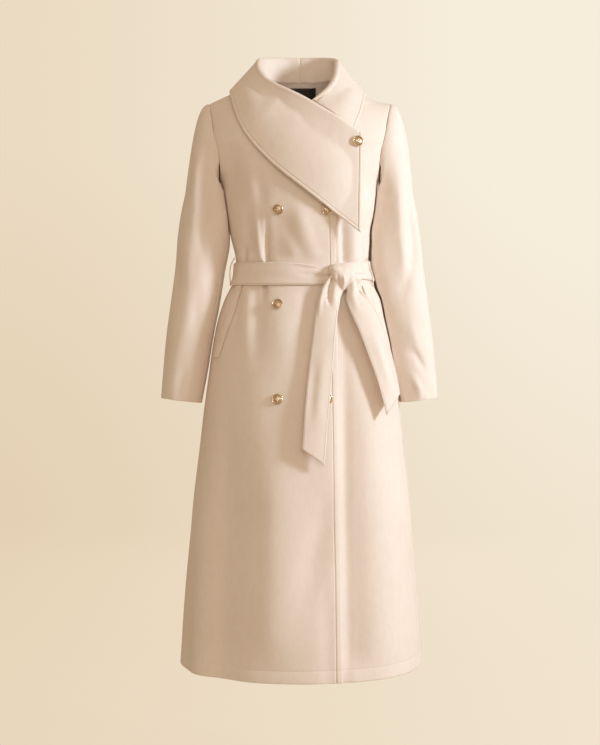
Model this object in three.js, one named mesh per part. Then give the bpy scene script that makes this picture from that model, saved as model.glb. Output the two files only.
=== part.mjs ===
// Belted double-breasted coat, closed, tied and filled out as it is worn, with nobody in it.
// Millimetres. +X is the wearer's left, the front faces -Y and +Z is up. The origin lies on the
// centre plane, level with the shoulder neck points.
// Every cloth piece is a wall: a grid of outer points, a second grid one cloth further in, and the
// cut edges between them. Neighbouring pieces stop half a seam gap short of their shared line.
import * as THREE from 'three';

// Cloth and seams
const COAT_CLOTH = 2.6;
const COLLAR_CLOTH = 3;
const BELT_CLOTH = 3;
const SEAM_GAP = 0.3;
const UNDERLAP_SINK = COAT_CLOTH + 2;

// Shoulders and neck
const NECK_HALF = 80;
const SHOULDER_HALF = 190;
const SHOULDER_DROP = 50;
const SHOULDER_SLOPE = SHOULDER_DROP / (SHOULDER_HALF - NECK_HALF);
const SHOULDER_ROUND = 110;
// Share of the wearer's left shoulder's drop that falls early, under the collar.
const SHOULDER_BEND = 0.9;
const NECK_CLIMB = 0.02;
const RIDGE_Y = 5;

// Levels and edges
const RING_POWER = 2.2;
const HEM_Z = -1217;
const HEM_DIP = 6;
const BUST_Z = -330;
const UNDERARM_Z = -218;
const FRONT_EDGE_TOP = 70;
const FRONT_EDGE_HEM = 85;

// Belt
const BELT_WIDTH = 48;
const BELT_Z = -402;
const BELT_TILT = 10;
const BELT_OFF = 1.4;

// Buttons
const BUTTON_HALF = 11;
const BUTTONS = [
  { name: 'button_a1', x: -45, z: -287, off: -0.4 },
  { name: 'button_b1', x: 54, z: -287, off: 0.4 },
  { name: 'button_a2', x: -45, z: -477, off: 0.2 },
  { name: 'button_b2', x: 54, z: -477, off: 0.4 },
  { name: 'button_a3', x: -45, z: -667, off: -0.2 },
  { name: 'button_b3', x: 54, z: -667, off: 0.4 },
];
// The button at the lapel's corner: a share of the first step down the lapel's last section from its
// fold, and how far in from the lapel's end.
const LAPEL_BUTTON = { fold: 4, share: 0.8, inset: 11, off: 0.5 };

// Rings of the body: half-widths on the wearer's right and left, half-depths front and back.
const BODY_RINGS = [
  { z: -1230, right: 253, left: 257, front: 199, back: 197 },
  { z: -1134, right: 246, left: 252, front: 192, back: 190 },
  { z: -1000, right: 234, left: 241, front: 182, back: 178 },
  { z: -882, right: 222, left: 229, front: 172, back: 167 },
  { z: -780, right: 211, left: 218, front: 163, back: 157 },
  { z: -700, right: 203, left: 210, front: 156, back: 150 },
  { z: -620, right: 191, left: 199, front: 147, back: 142 },
  { z: -554, right: 181, left: 189, front: 136, back: 131 },
  { z: -500, right: 170, left: 177, front: 124, back: 118 },
  { z: -462, right: 158, left: 169, front: 115, back: 107 },
  { z: -440, right: 148, left: 158, front: 109, back: 100 },
  { z: -420, right: 137, left: 152, front: 105, back: 95 },
  { z: -395, right: 134, left: 144, front: 103, back: 93 },
  { z: -370, right: 136, left: 144, front: 107, back: 95 },
  { z: -345, right: 142, left: 146, front: 114, back: 99 },
  { z: -315, right: 149, left: 147, front: 121, back: 103 },
  { z: -285, right: 155, left: 154, front: 126, back: 106 },
  { z: -250, right: 161, left: 159, front: 127, back: 109 },
  { z: -218, right: 166, left: 164, front: 124, back: 111 },
  { z: -190, right: 178, left: 177, front: 119, back: 113 },
  { z: -160, right: 190, left: 189, front: 112, back: 113 },
  { z: -130, right: 203, left: 202, front: 105, back: 111 },
  { z: -95, right: 209, left: 208, front: 96, back: 106 },
  { z: -50, right: 212, left: 212, front: 76, back: 96 },
  { z: -20, right: 214, left: 214, front: 62, back: 86 },
  { z: 20, right: 216, left: 216, front: 52, back: 74 },
];

// The armhole: how far its edge lies in front of and behind the side line, in degrees.
const ARMHOLE_ROWS = [
  { z: -218, front: 0, back: 0 },
  { z: -208, front: 12, back: 13 },
  { z: -192, front: 21, back: 23 },
  { z: -170, front: 27, back: 30 },
  { z: -145, front: 30.5, back: 33 },
  { z: -120, front: 31.5, back: 33 },
  { z: -90, front: 31, back: 32 },
  { z: -68, front: 29.5, back: 30 },
  { z: -50, front: 27.6, back: 27.6 },
];

// Top line of the wearer's right front, from the front edge round the neck to the neck point.
const FRONT_NECK = [
  { x: 70, z: -140 },
  { x: 35, z: -116 },
  { x: 0, z: -97 },
  { x: -28, z: -83 },
  { x: -52, z: -68 },
  { x: -68, z: -50 },
  { x: -76, z: -28 },
  { x: -79, z: -12 },
  { x: -NECK_HALF, z: 0 },
];

// Top line of the wearer's right back, from the centre back to the neck point.
const BACK_NECK = [
  { x: 0, z: 12 },
  { x: -25, z: 11 },
  { x: -50, z: 8 },
  { x: -70, z: 4 },
  { x: -NECK_HALF, z: 0 },
];

const SHOULDER_STEPS = 4;
const SKIRT_LEVELS = [
  HEM_Z, -1120, -1000, -880, -760, -650, -560, -500, -462, -440, -420, -395, -365, BUST_Z,
];
const YOKE_STEPS = [0.2, 0.4, 0.43, 0.48, 0.56, 0.66, 0.77, 0.87, 0.94, 0.98, 1];

// Sections of the sleeve, square to its axis. across and deep are half-sizes, forward is towards
// -Y, clear is the least distance off the body, and right and left are how far that sleeve wraps in
// round the body's side.
const SLEEVE_ROWS = [
  { z: -245, out: 201, across: 39, deep: 68, forward: 2, clear: 5, right: 12, left: 12 },
  { z: -290, out: 201, across: 48, deep: 66, forward: 3, clear: 5.5, right: 14, left: 14 },
  { z: -340, out: 202, across: 54, deep: 62, forward: 5, clear: 7.5, right: 5, left: 14 },
  { z: -400, out: 209, across: 52, deep: 59, forward: 8, clear: 9, right: 0, left: 12 },
  { z: -470, out: 219, across: 51, deep: 57, forward: 12, clear: 6, right: 0, left: 10 },
  { z: -540, out: 230, across: 49, deep: 55, forward: 16, clear: 4.5, right: 0, left: 8 },
  { z: -610, out: 239, across: 46.3, deep: 53, forward: 20, clear: 4.5, right: 0, left: 6 },
  { z: -672, out: 247, across: 43, deep: 50, forward: 23, clear: 4.5, right: 0, left: 0 },
];
const SLEEVE_LEAN = 6.9;
const CAP_STEPS = [0.1, 0.24, 0.42, 0.62, 0.82];
// The lower part of the cap, by height, is kept off the body.
const CAP_CLEAR = 0.6;
// Each side of the coat, with how far back its sleeve hangs.
const SIDES = [
  { name: 'right', side: -1, back: 0 },
  { name: 'left', side: 1, back: 26 },
];

// Collar, from the centre back round the neck point to its front end, a row for each neck point.
// roll is the fold and edge is the outer edge; lift is the least distance of the edge off the coat.
const RIGHT_COLLAR = [
  { roll: [0, 84, 64], edge: [0, 112, -72], lift: 4 },
  { roll: [-28, 81, 64], edge: [-45, 111, -71], lift: 4 },
  { roll: [-56, 68, 61], edge: [-88, 103, -68], lift: 4.5 },
  { roll: [-77, 45, 55], edge: [-124, 78, -60], lift: 8 },
  { roll: [-86, 15, 46], edge: [-143, 10, -30], lift: 6 },
  { roll: [-87, -4, 34], edge: [-144, -18, -38], lift: 7 },
  { roll: [-82, -28, 13], edge: [-139, -40, -57], lift: 5 },
  { roll: [-67, -52, -9], edge: [-127, -63, -90], lift: 6.2 },
  { roll: [-46, -72, -25], edge: [-105, -88, -135], lift: 6 },
  { roll: [-20, -88, -40], edge: [-72, -106, -177], lift: 7 },
  { roll: [8, -99, -56], edge: [-32, -118, -216], lift: 9 },
  { roll: [40, -107, -76], edge: [20, -125, -257], lift: 11 },
  { roll: [80, -111, -101], edge: [72, -127, -296], lift: 12 },
  { roll: [125, -107, -132], edge: [122, -121, -333], lift: 10 },
];
const RIGHT_COLLAR_END = { x: 122, z: -168, lift: 8 };
const LEFT_COLLAR = [
  { roll: [0, 84, 64], edge: [0, 112, -72], lift: 4 },
  { roll: [28, 81, 64], edge: [45, 111, -71], lift: 4 },
  { roll: [54, 68, 61], edge: [85, 103, -67], lift: 4.5 },
  { roll: [72, 45, 54], edge: [117, 78, -58], lift: 8 },
  { roll: [78, 15, 44], edge: [134, 10, -36], lift: 6 },
  { roll: [77, -6, 28], edge: [134, -20, -44], lift: 6 },
  { roll: [74, -30, 5], edge: [130, -42, -62], lift: 4.5 },
  { roll: [65, -53, -18], edge: [122, -66, -88], lift: 4 },
  { roll: [49, -70, -39], edge: [112, -78, -111], lift: 3.5 },
  { roll: [27, -84, -60], edge: [105, -84, -130], lift: 3.5 },
];
const FALL_STEPS = [0.12, 0.3, 0.5, 0.75, 1];
const ROLL_HALF = 3.4;
const COLLAR_SEAT = 3.7;

// Belt ends below the knot: left and right edge of each row.
const RIGHT_TAIL = [
  { left: [60, -92, -418], right: [82, -88, -424] },
  { left: [46, -98, -440], right: [82, -94, -449] },
  { left: [38, -121, -463], right: [80, -119, -469] },
  { left: [32, -133, -490], right: [75, -133, -494] },
  { left: [26.5, -146, -533], right: [71, -146, -536] },
  { left: [17, -159, -609], right: [64.5, -157, -612] },
  { left: [10, -171, -679], right: [57.5, -167, -684] },
  { left: [4, -183, -765], right: [48.5, -180, -798] },
];
const LEFT_TAIL = [
  { left: [88, -86, -424], right: [104, -80, -412] },
  { left: [90, -92, -449], right: [117, -86, -440] },
  { left: [94, -113, -470], right: [133, -96, -459] },
  { left: [102, -122, -494], right: [148, -99, -480] },
  { left: [117, -131, -528], right: [164, -104, -512] },
  { left: [136, -133, -578], right: [181, -108, -562] },
  { left: [155, -133, -631], right: [194, -104, -612] },
  { left: [174, -130, -700], right: [203, -94, -656] },
];
const TAIL_CROWN = 3;
const TAIL_OFF = BELT_OFF + BELT_CLOTH + 1.7 + BELT_CLOTH / 2;

const KNOT_CENTRE = [85, -118.9, -418];
const KNOT_HALF = [27, 14, 28];
const LOOPS = [
  { name: 'belt_loop_right', angle: -86, stand: 12, seat: 0.8 },
  { name: 'belt_loop_left', angle: 72, stand: 7, seat: 0.6 },
];
const LOOP_HALF = 2.2;
const LOOP_CLOTH = 2;
const WELT = { topX: 131, topZ: -436, lowX: 177, lowZ: -584, width: 13, cloth: 1.6, off: 0.9 };
// The label spans the back panels' inner side: rows counted down from the neck, and a share of a column.
const LABEL = { rows: [4, 3], reach: 0.3, off: 1.5, cloth: 0.8 };

const WOOL = { color: '#e2cfb9', roughness: 0.85, metalness: 0 };
const LABEL_SATIN = { color: '#17110d', roughness: 0.6, metalness: 0 };
const BUTTON_BRASS = { color: '#c9a26a', roughness: 0.3, metalness: 1 };

const rad = THREE.MathUtils.degToRad;
const lerp = THREE.MathUtils.lerp;
const coat = new THREE.Group();

// A smooth curve through one column of a table whose rows rise in the key "by".
function follow(rows, by, column, at) {
  const last = rows.length - 1;
  let i = 0;
  while (i < last - 1 && rows[i + 1][by] < at) i += 1;
  const slope = (k) => {
    const a = rows[Math.max(k - 1, 0)];
    const b = rows[Math.min(k + 1, last)];
    return (b[column] - a[column]) / (b[by] - a[by]);
  };
  const span = rows[i + 1][by] - rows[i][by];
  const t = THREE.MathUtils.clamp((at - rows[i][by]) / span, 0, 1);
  const start = rows[i][column];
  const end = rows[i + 1][column];
  const s = t * t * (3 - 2 * t);
  const bend = slope(i) * t * (1 - t) * (1 - t) - slope(i + 1) * t * t * (1 - t);
  return start + (end - start) * s + bend * span;
}

function halfWidth(x, z) {
  return follow(BODY_RINGS, 'z', x < 0 ? 'right' : 'left', z);
}

// Height of the shoulder ridge, which climbs into the neck inside the neck points.
function ridge(x) {
  const out = Math.abs(x) - NECK_HALF;
  if (out <= 0) return -SHOULDER_SLOPE * out + NECK_CLIMB * out * out;
  if (x < 0) return -SHOULDER_SLOPE * out;
  const left = Math.max(1 - out / (SHOULDER_HALF - NECK_HALF), 0);
  return -SHOULDER_BEND * SHOULDER_DROP * (1 - left * left) - (1 - SHOULDER_BEND) * SHOULDER_SLOPE * out;
}

// How much of its full depth the body has below the ridge: a quarter round, then all of it.
function fullness(x, z) {
  const down = THREE.MathUtils.clamp((ridge(x) - z) / SHOULDER_ROUND, 0, 1);
  return Math.sqrt(1 - (1 - down) * (1 - down));
}

// A point of the body's outer surface. The angle is 0 at the centre front and +90 at the wearer's left.
function bodyPoint(angle, z) {
  const s = Math.sin(rad(angle));
  const c = Math.cos(rad(angle));
  const x = Math.sign(s) * halfWidth(s, z) * Math.abs(s) ** (2 / RING_POWER);
  const depth = follow(BODY_RINGS, 'z', c > 0 ? 'front' : 'back', z);
  const y = -Math.sign(c) * depth * Math.abs(c) ** (2 / RING_POWER);
  return new THREE.Vector3(x, RIDGE_Y + (y - RIDGE_Y) * fullness(x, z), z);
}

function frontAngle(x, z) {
  const share = Math.min(Math.abs(x) / halfWidth(x, z), 1) ** (RING_POWER / 2);
  return Math.sign(x) * THREE.MathUtils.radToDeg(Math.asin(share));
}

function backAngle(side) {
  return (x, z) => side * 180 - frontAngle(x, z);
}

// Below 0 inside the body and above 0 outside it.
function bodyLevel(p) {
  const across = (Math.abs(p.x) / halfWidth(p.x, p.z)) ** RING_POWER;
  const full = fullness(p.x, p.z);
  const seat = RIDGE_Y * (1 - full);
  const depth = follow(BODY_RINGS, 'z', p.y < seat ? 'front' : 'back', p.z);
  const through = (Math.abs(p.y - seat) / depth) ** RING_POWER;
  return through - (1 - across) * full ** RING_POWER;
}

function levelSlope(p) {
  const reach = 0.5;
  const slope = new THREE.Vector3();
  for (const axis of ['x', 'y', 'z']) {
    const ahead = p.clone();
    const behind = p.clone();
    ahead[axis] += reach;
    behind[axis] -= reach;
    slope[axis] = (bodyLevel(ahead) - bodyLevel(behind)) / (2 * reach);
  }
  return slope;
}

function outward(p) {
  return levelSlope(p).normalize();
}

// The point moved straight out from the body until it is at least this far off it.
function standOff(p, distance) {
  const q = p.clone();
  for (let i = 0; i < 5; i += 1) {
    const slope = levelSlope(q);
    const off = bodyLevel(q) / slope.length();
    if (off < distance) q.addScaledVector(slope.normalize(), distance - off);
  }
  return q;
}

function onBody(angle, z, off) {
  const p = bodyPoint(angle, z);
  return p.addScaledVector(outward(p), off);
}

function towards(from, to, distance) {
  return from.clone().addScaledVector(to.clone().sub(from).normalize(), distance);
}

// Pulls the named edges of a pair of grids back from their seams, along the cloth.
function pullBack(grids, edges, distance) {
  for (const grid of grids) {
    const rows = grid.length - 1;
    const columns = grid[0].length - 1;
    for (let i = 0; i <= rows; i += 1) {
      if (edges.includes('first')) grid[i][0] = towards(grid[i][0], grid[i][1], distance);
      if (edges.includes('last')) {
        grid[i][columns] = towards(grid[i][columns], grid[i][columns - 1], distance);
      }
    }
    for (let j = 0; j <= columns; j += 1) {
      if (edges.includes('bottom')) grid[0][j] = towards(grid[0][j], grid[1][j], distance);
      if (edges.includes('top')) grid[rows][j] = towards(grid[rows][j], grid[rows - 1][j], distance);
    }
  }
}

// A closed wall between two grids of the same size. A ring's last column meets its first.
function wallGeometry(outer, inner, ring) {
  const rows = outer.length;
  const columns = outer[0].length;
  const points = [...outer.flat(), ...inner.flat()];
  const index = [];
  const at = (layer, i, j) => layer * rows * columns + i * columns + (j % columns);
  const quad = (a, b, c, d) => index.push(a, b, c, a, c, d);
  const spans = ring ? columns : columns - 1;
  for (let i = 0; i < rows - 1; i += 1) {
    for (let j = 0; j < spans; j += 1) {
      quad(at(0, i, j), at(0, i, j + 1), at(0, i + 1, j + 1), at(0, i + 1, j));
      quad(at(1, i, j), at(1, i + 1, j), at(1, i + 1, j + 1), at(1, i, j + 1));
    }
    if (!ring) {
      quad(at(0, i, 0), at(0, i + 1, 0), at(1, i + 1, 0), at(1, i, 0));
      quad(at(0, i, spans), at(1, i, spans), at(1, i + 1, spans), at(0, i + 1, spans));
    }
  }
  for (let j = 0; j < spans; j += 1) {
    quad(at(0, 0, j), at(1, 0, j), at(1, 0, j + 1), at(0, 0, j + 1));
    quad(at(0, rows - 1, j), at(0, rows - 1, j + 1), at(1, rows - 1, j + 1), at(1, rows - 1, j));
  }
  const volume = index.reduce((sum, _, k) => {
    if (k % 3) return sum;
    const [a, b, c] = [points[index[k]], points[index[k + 1]], points[index[k + 2]]];
    return sum + a.dot(b.clone().cross(c));
  }, 0);
  if (volume < 0) index.reverse();
  const geometry = new THREE.BufferGeometry();
  geometry.setAttribute('position', new THREE.Float32BufferAttribute(points.flatMap((p) => p.toArray()), 3));
  geometry.setIndex(index);
  return geometry;
}

function addPiece(name, geometry, finish) {
  const mesh = new THREE.Mesh(geometry, new THREE.MeshStandardMaterial(finish));
  mesh.name = name;
  coat.add(mesh);
  return mesh;
}

function addWall(name, outer, inner, finish = WOOL, ring = false) {
  addPiece(name, wallGeometry(outer, inner, ring), finish);
}

function mirrored(points) {
  return points.map((p) => ({ ...p, x: -p.x }));
}

// Shoulder line points from beyond the neck point to the shoulder point.
function shoulderLine(side) {
  const points = [];
  for (let i = 1; i <= SHOULDER_STEPS; i += 1) {
    const x = side * lerp(NECK_HALF, SHOULDER_HALF, i / SHOULDER_STEPS);
    points.push({ x, z: ridge(x) });
  }
  return points;
}

function frontEdge(z) {
  const share = (z - FRONT_NECK[0].z) / (HEM_Z - FRONT_NECK[0].z);
  return lerp(FRONT_EDGE_TOP, FRONT_EDGE_HEM, THREE.MathUtils.clamp(share, 0, 1));
}

// The panel's outer side: columns run from the hem to its top line, between two edge angles.
function panelGrid(topLine, angleOf, edgeAngle, sideAngle, sink) {
  const last = topLine.length - 1;
  const topAngles = topLine.map((p) => angleOf(p.x, p.z));
  const topShare = (j) => (topAngles[j] - topAngles[0]) / (topAngles[last] - topAngles[0]);
  const miss = topLine.map(({ z }, j) => topAngles[j] - lerp(edgeAngle(z), sideAngle(z), topShare(j)));
  const place = (angle, z) => {
    const p = bodyPoint(angle, z);
    return p.addScaledVector(outward(p), -sink(p.x));
  };
  const grid = SKIRT_LEVELS.map((z) => topLine.map((_, j) => {
    const angle = lerp(edgeAngle(z), sideAngle(z), j / last);
    const dip = z === HEM_Z ? HEM_DIP * Math.max(Math.cos(rad(angle)), 0) ** 2 : 0;
    return place(angle, z - dip);
  }));
  for (const step of YOKE_STEPS) {
    const settle = step * step * (3 - 2 * step);
    grid.push(topLine.map((top, j) => {
      const z = lerp(BUST_Z, top.z, step);
      const share = lerp(j / last, topShare(j), settle);
      return place(lerp(edgeAngle(z), sideAngle(z), share) + miss[j] * step ** 6, z);
    }));
  }
  return grid;
}

function innerSide(grid, cloth) {
  return grid.map((row) => row.map((p) => p.clone().addScaledVector(outward(p), -cloth)));
}

// Edge angle of the side seam and, above the underarm, of the armhole.
function sideAngle(side, face) {
  const turn = face === 'front' ? -1 : 1;
  return (z) => side * (90 + turn * (z > UNDERARM_Z ? follow(ARMHOLE_ROWS, 'z', face, z) : 0));
}

// How far the wearer's left front lies below the right one that covers it.
function underlap(x) {
  const share = THREE.MathUtils.clamp((x - FRONT_EDGE_HEM - 3) / 24, 0, 1);
  return UNDERLAP_SINK * (1 - share * share * (3 - 2 * share));
}

const panels = {};

function addPanel(name, topLine, angleOf, edgeAngle, side, face, sink, edges) {
  const outer = panelGrid(topLine, angleOf, edgeAngle, sideAngle(side, face), sink);
  const inner = innerSide(outer, COAT_CLOTH);
  panels[name] = { outer: outer.map((row) => [...row]), inner: inner.map((row) => [...row]) };
  pullBack([outer, inner], edges, SEAM_GAP / 2);
  addWall(name, outer, inner);
}

function addPanels() {
  const flat = () => 0;
  const seams = ['last', 'top'];
  const frontTop = [...FRONT_NECK, ...shoulderLine(-1)];
  const leftTop = [...mirrored(FRONT_NECK), ...shoulderLine(1)];
  const rightBackTop = [...BACK_NECK, ...shoulderLine(-1)];
  const leftBackTop = [...mirrored(BACK_NECK), ...shoulderLine(1)];
  addPanel('right_front', frontTop, frontAngle, (z) => frontAngle(frontEdge(z), z), -1, 'front', flat, seams);
  const leftEdge = (z) => frontAngle(-frontEdge(z), z);
  addPanel('left_front', leftTop, frontAngle, leftEdge, 1, 'front', underlap, seams);
  addPanel('right_back', rightBackTop, backAngle(-1), () => -180, -1, 'back', flat, ['first', ...seams]);
  addPanel('left_back', leftBackTop, backAngle(1), () => 180, 1, 'back', flat, ['first', ...seams]);
}

// The armhole seam as a ring: underarm, up the front edge, shoulder point, down the back edge.
function armholeRing(name) {
  const edgeOf = (face) => panels[`${name}_${face}`].outer.slice(1 - YOKE_STEPS.length).map((row) => {
    const end = row.length - 1;
    return row[end].clone().addScaledVector(row[end].clone().sub(row[end - 1]).normalize(), SEAM_GAP / 2);
  });
  const up = edgeOf('front');
  up[0].z += SEAM_GAP;
  return [...up, ...edgeOf('back').reverse().slice(1, -1)];
}

// The sleeve's outer side as rings of as many points as the armhole, from the cap to the cuff.
function sleeveRings(seam, name, side, back) {
  const lean = rad(SLEEVE_LEAN);
  const axis = new THREE.Vector3(side * Math.sin(lean), 0, -Math.cos(lean));
  const across = new THREE.Vector3(side * Math.cos(lean), 0, Math.sin(lean));
  const turnOf = (j) => Math.PI - (2 * Math.PI * j) / seam.length;
  const section = (row) => seam.map((_, j) => {
    const p = new THREE.Vector3(side * row.out, back - row.forward, row.z);
    const wrap = 2 * Math.max(-Math.cos(turnOf(j)), 0) * Math.abs(Math.sin(turnOf(j)));
    p.addScaledVector(across, row.across * Math.cos(turnOf(j)) - row[name] * wrap);
    p.y -= row.deep * Math.sin(turnOf(j));
    return standOff(p, row.clear);
  });
  const tube = SLEEVE_ROWS.map(section);
  const cap = CAP_STEPS.map((t) => seam.map((start, j) => {
    const end = tube[0][j];
    const reach = start.distanceTo(end);
    const high = (1 + Math.cos(turnOf(j))) / 2;
    const leave = new THREE.Vector3(side * (0.8 - 0.3 * high), -0.2 * Math.sin(turnOf(j)), high - 0.95);
    const arrive = axis.clone().multiplyScalar(reach);
    const p = start.clone().multiplyScalar(1 - t * t * (3 - 2 * t));
    p.addScaledVector(end, t * t * (3 - 2 * t));
    p.addScaledVector(leave, reach * t * (1 - t) * (1 - t));
    p.addScaledVector(arrive, -t * t * (1 - t));
    return high < CAP_CLEAR ? standOff(p, lerp(1, SLEEVE_ROWS[0].clear, t)) : p;
  }));
  return [seam, ...cap, ...tube];
}

function ringNormal(rings, i, j) {
  const count = rings[i].length;
  const down = rings[Math.min(i + 1, rings.length - 1)][j].clone().sub(rings[Math.max(i - 1, 0)][j]);
  const round = rings[i][(j + 1) % count].clone().sub(rings[i][(j + count - 1) % count]);
  return down.cross(round).normalize();
}

// Two-piece sleeves: the top sleeve wraps the outside, the under sleeve the side next to the body.
function addSleeves() {
  const frontSeam = 2;
  for (const { name, side, back } of SIDES) {
    const seam = armholeRing(name);
    const outer = sleeveRings(seam, name, side, back);
    const count = seam.length;
    const backSeam = count - 3;
    const middle = seam.reduce((sum, p) => sum.addScaledVector(p, 1 / count), new THREE.Vector3());
    const inner = outer.map((ring, i) => ring.map((p, j) => {
      if (i === 0) return towards(p, middle, COAT_CLOTH);
      return p.clone().addScaledVector(ringNormal(outer, i, j), side * COAT_CLOTH);
    }));
    const pick = (rings, from, steps) => rings.map((ring) => {
      const cut = [];
      for (let k = 0; k <= steps; k += 1) cut.push(ring[(from + k) % count].clone());
      return cut;
    });
    const topSteps = backSeam - frontSeam;
    const top = [pick(outer, frontSeam, topSteps), pick(inner, frontSeam, topSteps)];
    const under = [pick(outer, backSeam, count - topSteps), pick(inner, backSeam, count - topSteps)];
    pullBack(top, ['first', 'last'], SEAM_GAP / 2);
    pullBack(under, ['first', 'last'], SEAM_GAP / 2);
    addWall(`${name}_top_sleeve`, ...top);
    addWall(`${name}_under_sleeve`, ...under);
  }
}

// One section of a collar half: up the stand, over the roll and down the fall to the outer edge.
function collarSection(neck, row) {
  const roll = new THREE.Vector3(...row.roll);
  const edge = standOff(new THREE.Vector3(...row.edge), row.lift);
  const out = edge.clone().sub(roll).setZ(0);
  if (out.length() < 25) out.addScaledVector(outward(roll).setZ(0), 25);
  out.normalize();
  const seat = neck.clone().add(new THREE.Vector3(0, 0, COLLAR_SEAT));
  const rollIn = roll.clone().addScaledVector(out, -ROLL_HALF).add(new THREE.Vector3(0, 0, -ROLL_HALF));
  const rollOut = roll.clone().addScaledVector(out, ROLL_HALF).add(new THREE.Vector3(0, 0, -ROLL_HALF));
  const section = [seat, seat.clone().lerp(rollIn, 0.5), rollIn, roll, rollOut];
  for (const t of FALL_STEPS) {
    const p = rollOut.clone().lerp(edge, t);
    section.push(standOff(p, lerp(Math.min(row.lift, 9), row.lift, t)));
  }
  return section;
}

function gridNormal(grid, i, j) {
  const up = grid[Math.min(i + 1, grid.length - 1)][j].clone().sub(grid[Math.max(i - 1, 0)][j]);
  const row = grid[i];
  const over = row[Math.min(j + 1, row.length - 1)].clone().sub(row[Math.max(j - 1, 0)]);
  return up.cross(over).normalize();
}

// A wall of the given thickness centred on a grid. Its first row may end in a plane of constant X.
function addCentredWall(name, grid, cloth, seamX) {
  const layer = (turn) => grid.map((row, i) => row.map((p, j) => {
    return p.clone().addScaledVector(gridNormal(grid, i, j), (turn * cloth) / 2);
  }));
  const sides = [layer(1), layer(-1)];
  if (seamX !== undefined) for (const side of sides) side[0].forEach((p) => p.setX(seamX));
  addWall(name, ...sides);
}

function addCollar() {
  const topOf = (name, count) => panels[name].outer.at(-1).slice(0, count);
  const rightNeck = [...topOf('right_back', 4), ...topOf('right_front', 9).reverse()];
  const leftNeck = [...topOf('left_back', 4), ...topOf('left_front', 9).reverse()];
  const { x, z, lift } = RIGHT_COLLAR_END;
  rightNeck.push(onBody(frontAngle(x, z), z, lift));
  const right = RIGHT_COLLAR.map((row, i) => collarSection(rightNeck[i], row));
  const left = LEFT_COLLAR.map((row, i) => collarSection(leftNeck[i], row));
  addCentredWall('right_collar_and_lapel', right, COLLAR_CLOTH, -SEAM_GAP / 2);
  addCentredWall('left_collar', left, COLLAR_CLOTH, SEAM_GAP / 2);
  return right;
}

function addBelt() {
  const steps = 44;
  const ring = (share, off) => {
    const points = [];
    for (let k = 0; k < steps; k += 1) {
      const angle = (360 * k) / steps - 180;
      const z = BELT_Z - BELT_TILT * Math.cos(rad(angle)) + share * (BELT_WIDTH / 2);
      points.push(onBody(angle, z, off));
    }
    return points;
  };
  const side = (off) => [ring(-1, off), ring(1, off)];
  addWall('belt', side(BELT_OFF + BELT_CLOTH), side(BELT_OFF), WOOL, true);
}

function addTail(name, rows) {
  const grid = rows.map(({ left, right }, i) => {
    const a = standOff(new THREE.Vector3(...left), TAIL_OFF);
    const b = standOff(new THREE.Vector3(...right), TAIL_OFF);
    const middle = standOff(a.clone().lerp(b, 0.5), TAIL_OFF);
    if (i > 1) middle.addScaledVector(outward(middle), TAIL_CROWN);
    return [a, middle, b];
  });
  addCentredWall(name, grid, BELT_CLOTH);
}

function addKnot() {
  const knot = addPiece('belt_knot', new THREE.SphereGeometry(1, 14, 10), WOOL);
  knot.scale.set(...KNOT_HALF);
  knot.position.set(...KNOT_CENTRE);
  knot.rotation.y = rad(14);
}

function addBeltLoops() {
  for (const { name, angle, stand, seat } of LOOPS) {
    const middle = BELT_Z - BELT_TILT * Math.cos(rad(angle));
    const half = BELT_WIDTH / 2;
    const spread = THREE.MathUtils.radToDeg(LOOP_HALF / bodyPoint(angle, middle).setZ(0).length());
    const path = [[13, seat], [6, seat], [1, stand], [-2 * half - 1, stand], [-2 * half - 6, seat],
      [-2 * half - 13, seat]];
    const layer = (off, turnIn) => path.map(([drop, out], i) => [-spread, spread].map((turn) => {
      const nudge = turnIn * [0, -1, -1, 1, 1, 0][i] * LOOP_CLOTH * 0.6;
      return onBody(angle + turn, middle + half + drop + nudge, out + off);
    }));
    addWall(name, layer(LOOP_CLOTH, -1), layer(0, 0));
  }
}

// The stitched edge of each slanted side pocket, laid on the front panel.
function addPocketEdges() {
  for (const { name, side } of SIDES) {
    const strip = (off) => [0, 0.2, 0.4, 0.6, 0.8, 1].map((t) => [0, 0.5, 1].map((share) => {
      const z = lerp(WELT.topZ, WELT.lowZ, t);
      const ratio = halfWidth(side, z) / halfWidth(-1, z);
      const x = (lerp(WELT.topX, WELT.lowX, t) - share * WELT.width) * ratio;
      return onBody(frontAngle(side * x, z), z, off);
    }));
    addWall(`${name}_pocket_edge`, strip(WELT.off + WELT.cloth), strip(WELT.off));
  }
}

// A blank label inside the back neck, over the centre back seam.
function addLabel() {
  const rightBack = panels.right_back.inner;
  const leftBack = panels.left_back.inner;
  const sheet = (depth) => LABEL.rows.map((down) => {
    const right = rightBack.at(-down);
    const left = leftBack.at(-down);
    const points = [right[1].clone().lerp(right[2], LABEL.reach), right[1], right[0]];
    points.push(left[1], left[1].clone().lerp(left[2], LABEL.reach));
    return points.map((p) => p.clone().addScaledVector(outward(p), -depth));
  });
  addWall('neck_label', sheet(LABEL.off), sheet(LABEL.off + LABEL.cloth), LABEL_SATIN);
}

function buttonGeometry() {
  const rim = [[10, 1.5], [BUTTON_HALF, 2.6], [10.4, 4.4]];
  const profile = [[0, 0], [3.5, 0], [3.5, 1.5], ...rim, [6, 6], [0, 6.9]];
  const lathe = new THREE.LatheGeometry(profile.map(([r, h]) => new THREE.Vector2(r, h)), 14);
  return lathe.rotateX(Math.PI / 2);
}

function addButton(name, seat, facing) {
  const button = addPiece(name, buttonGeometry(), BUTTON_BRASS);
  button.quaternion.setFromUnitVectors(new THREE.Vector3(0, 0, 1), facing);
  button.position.copy(seat);
}

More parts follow.
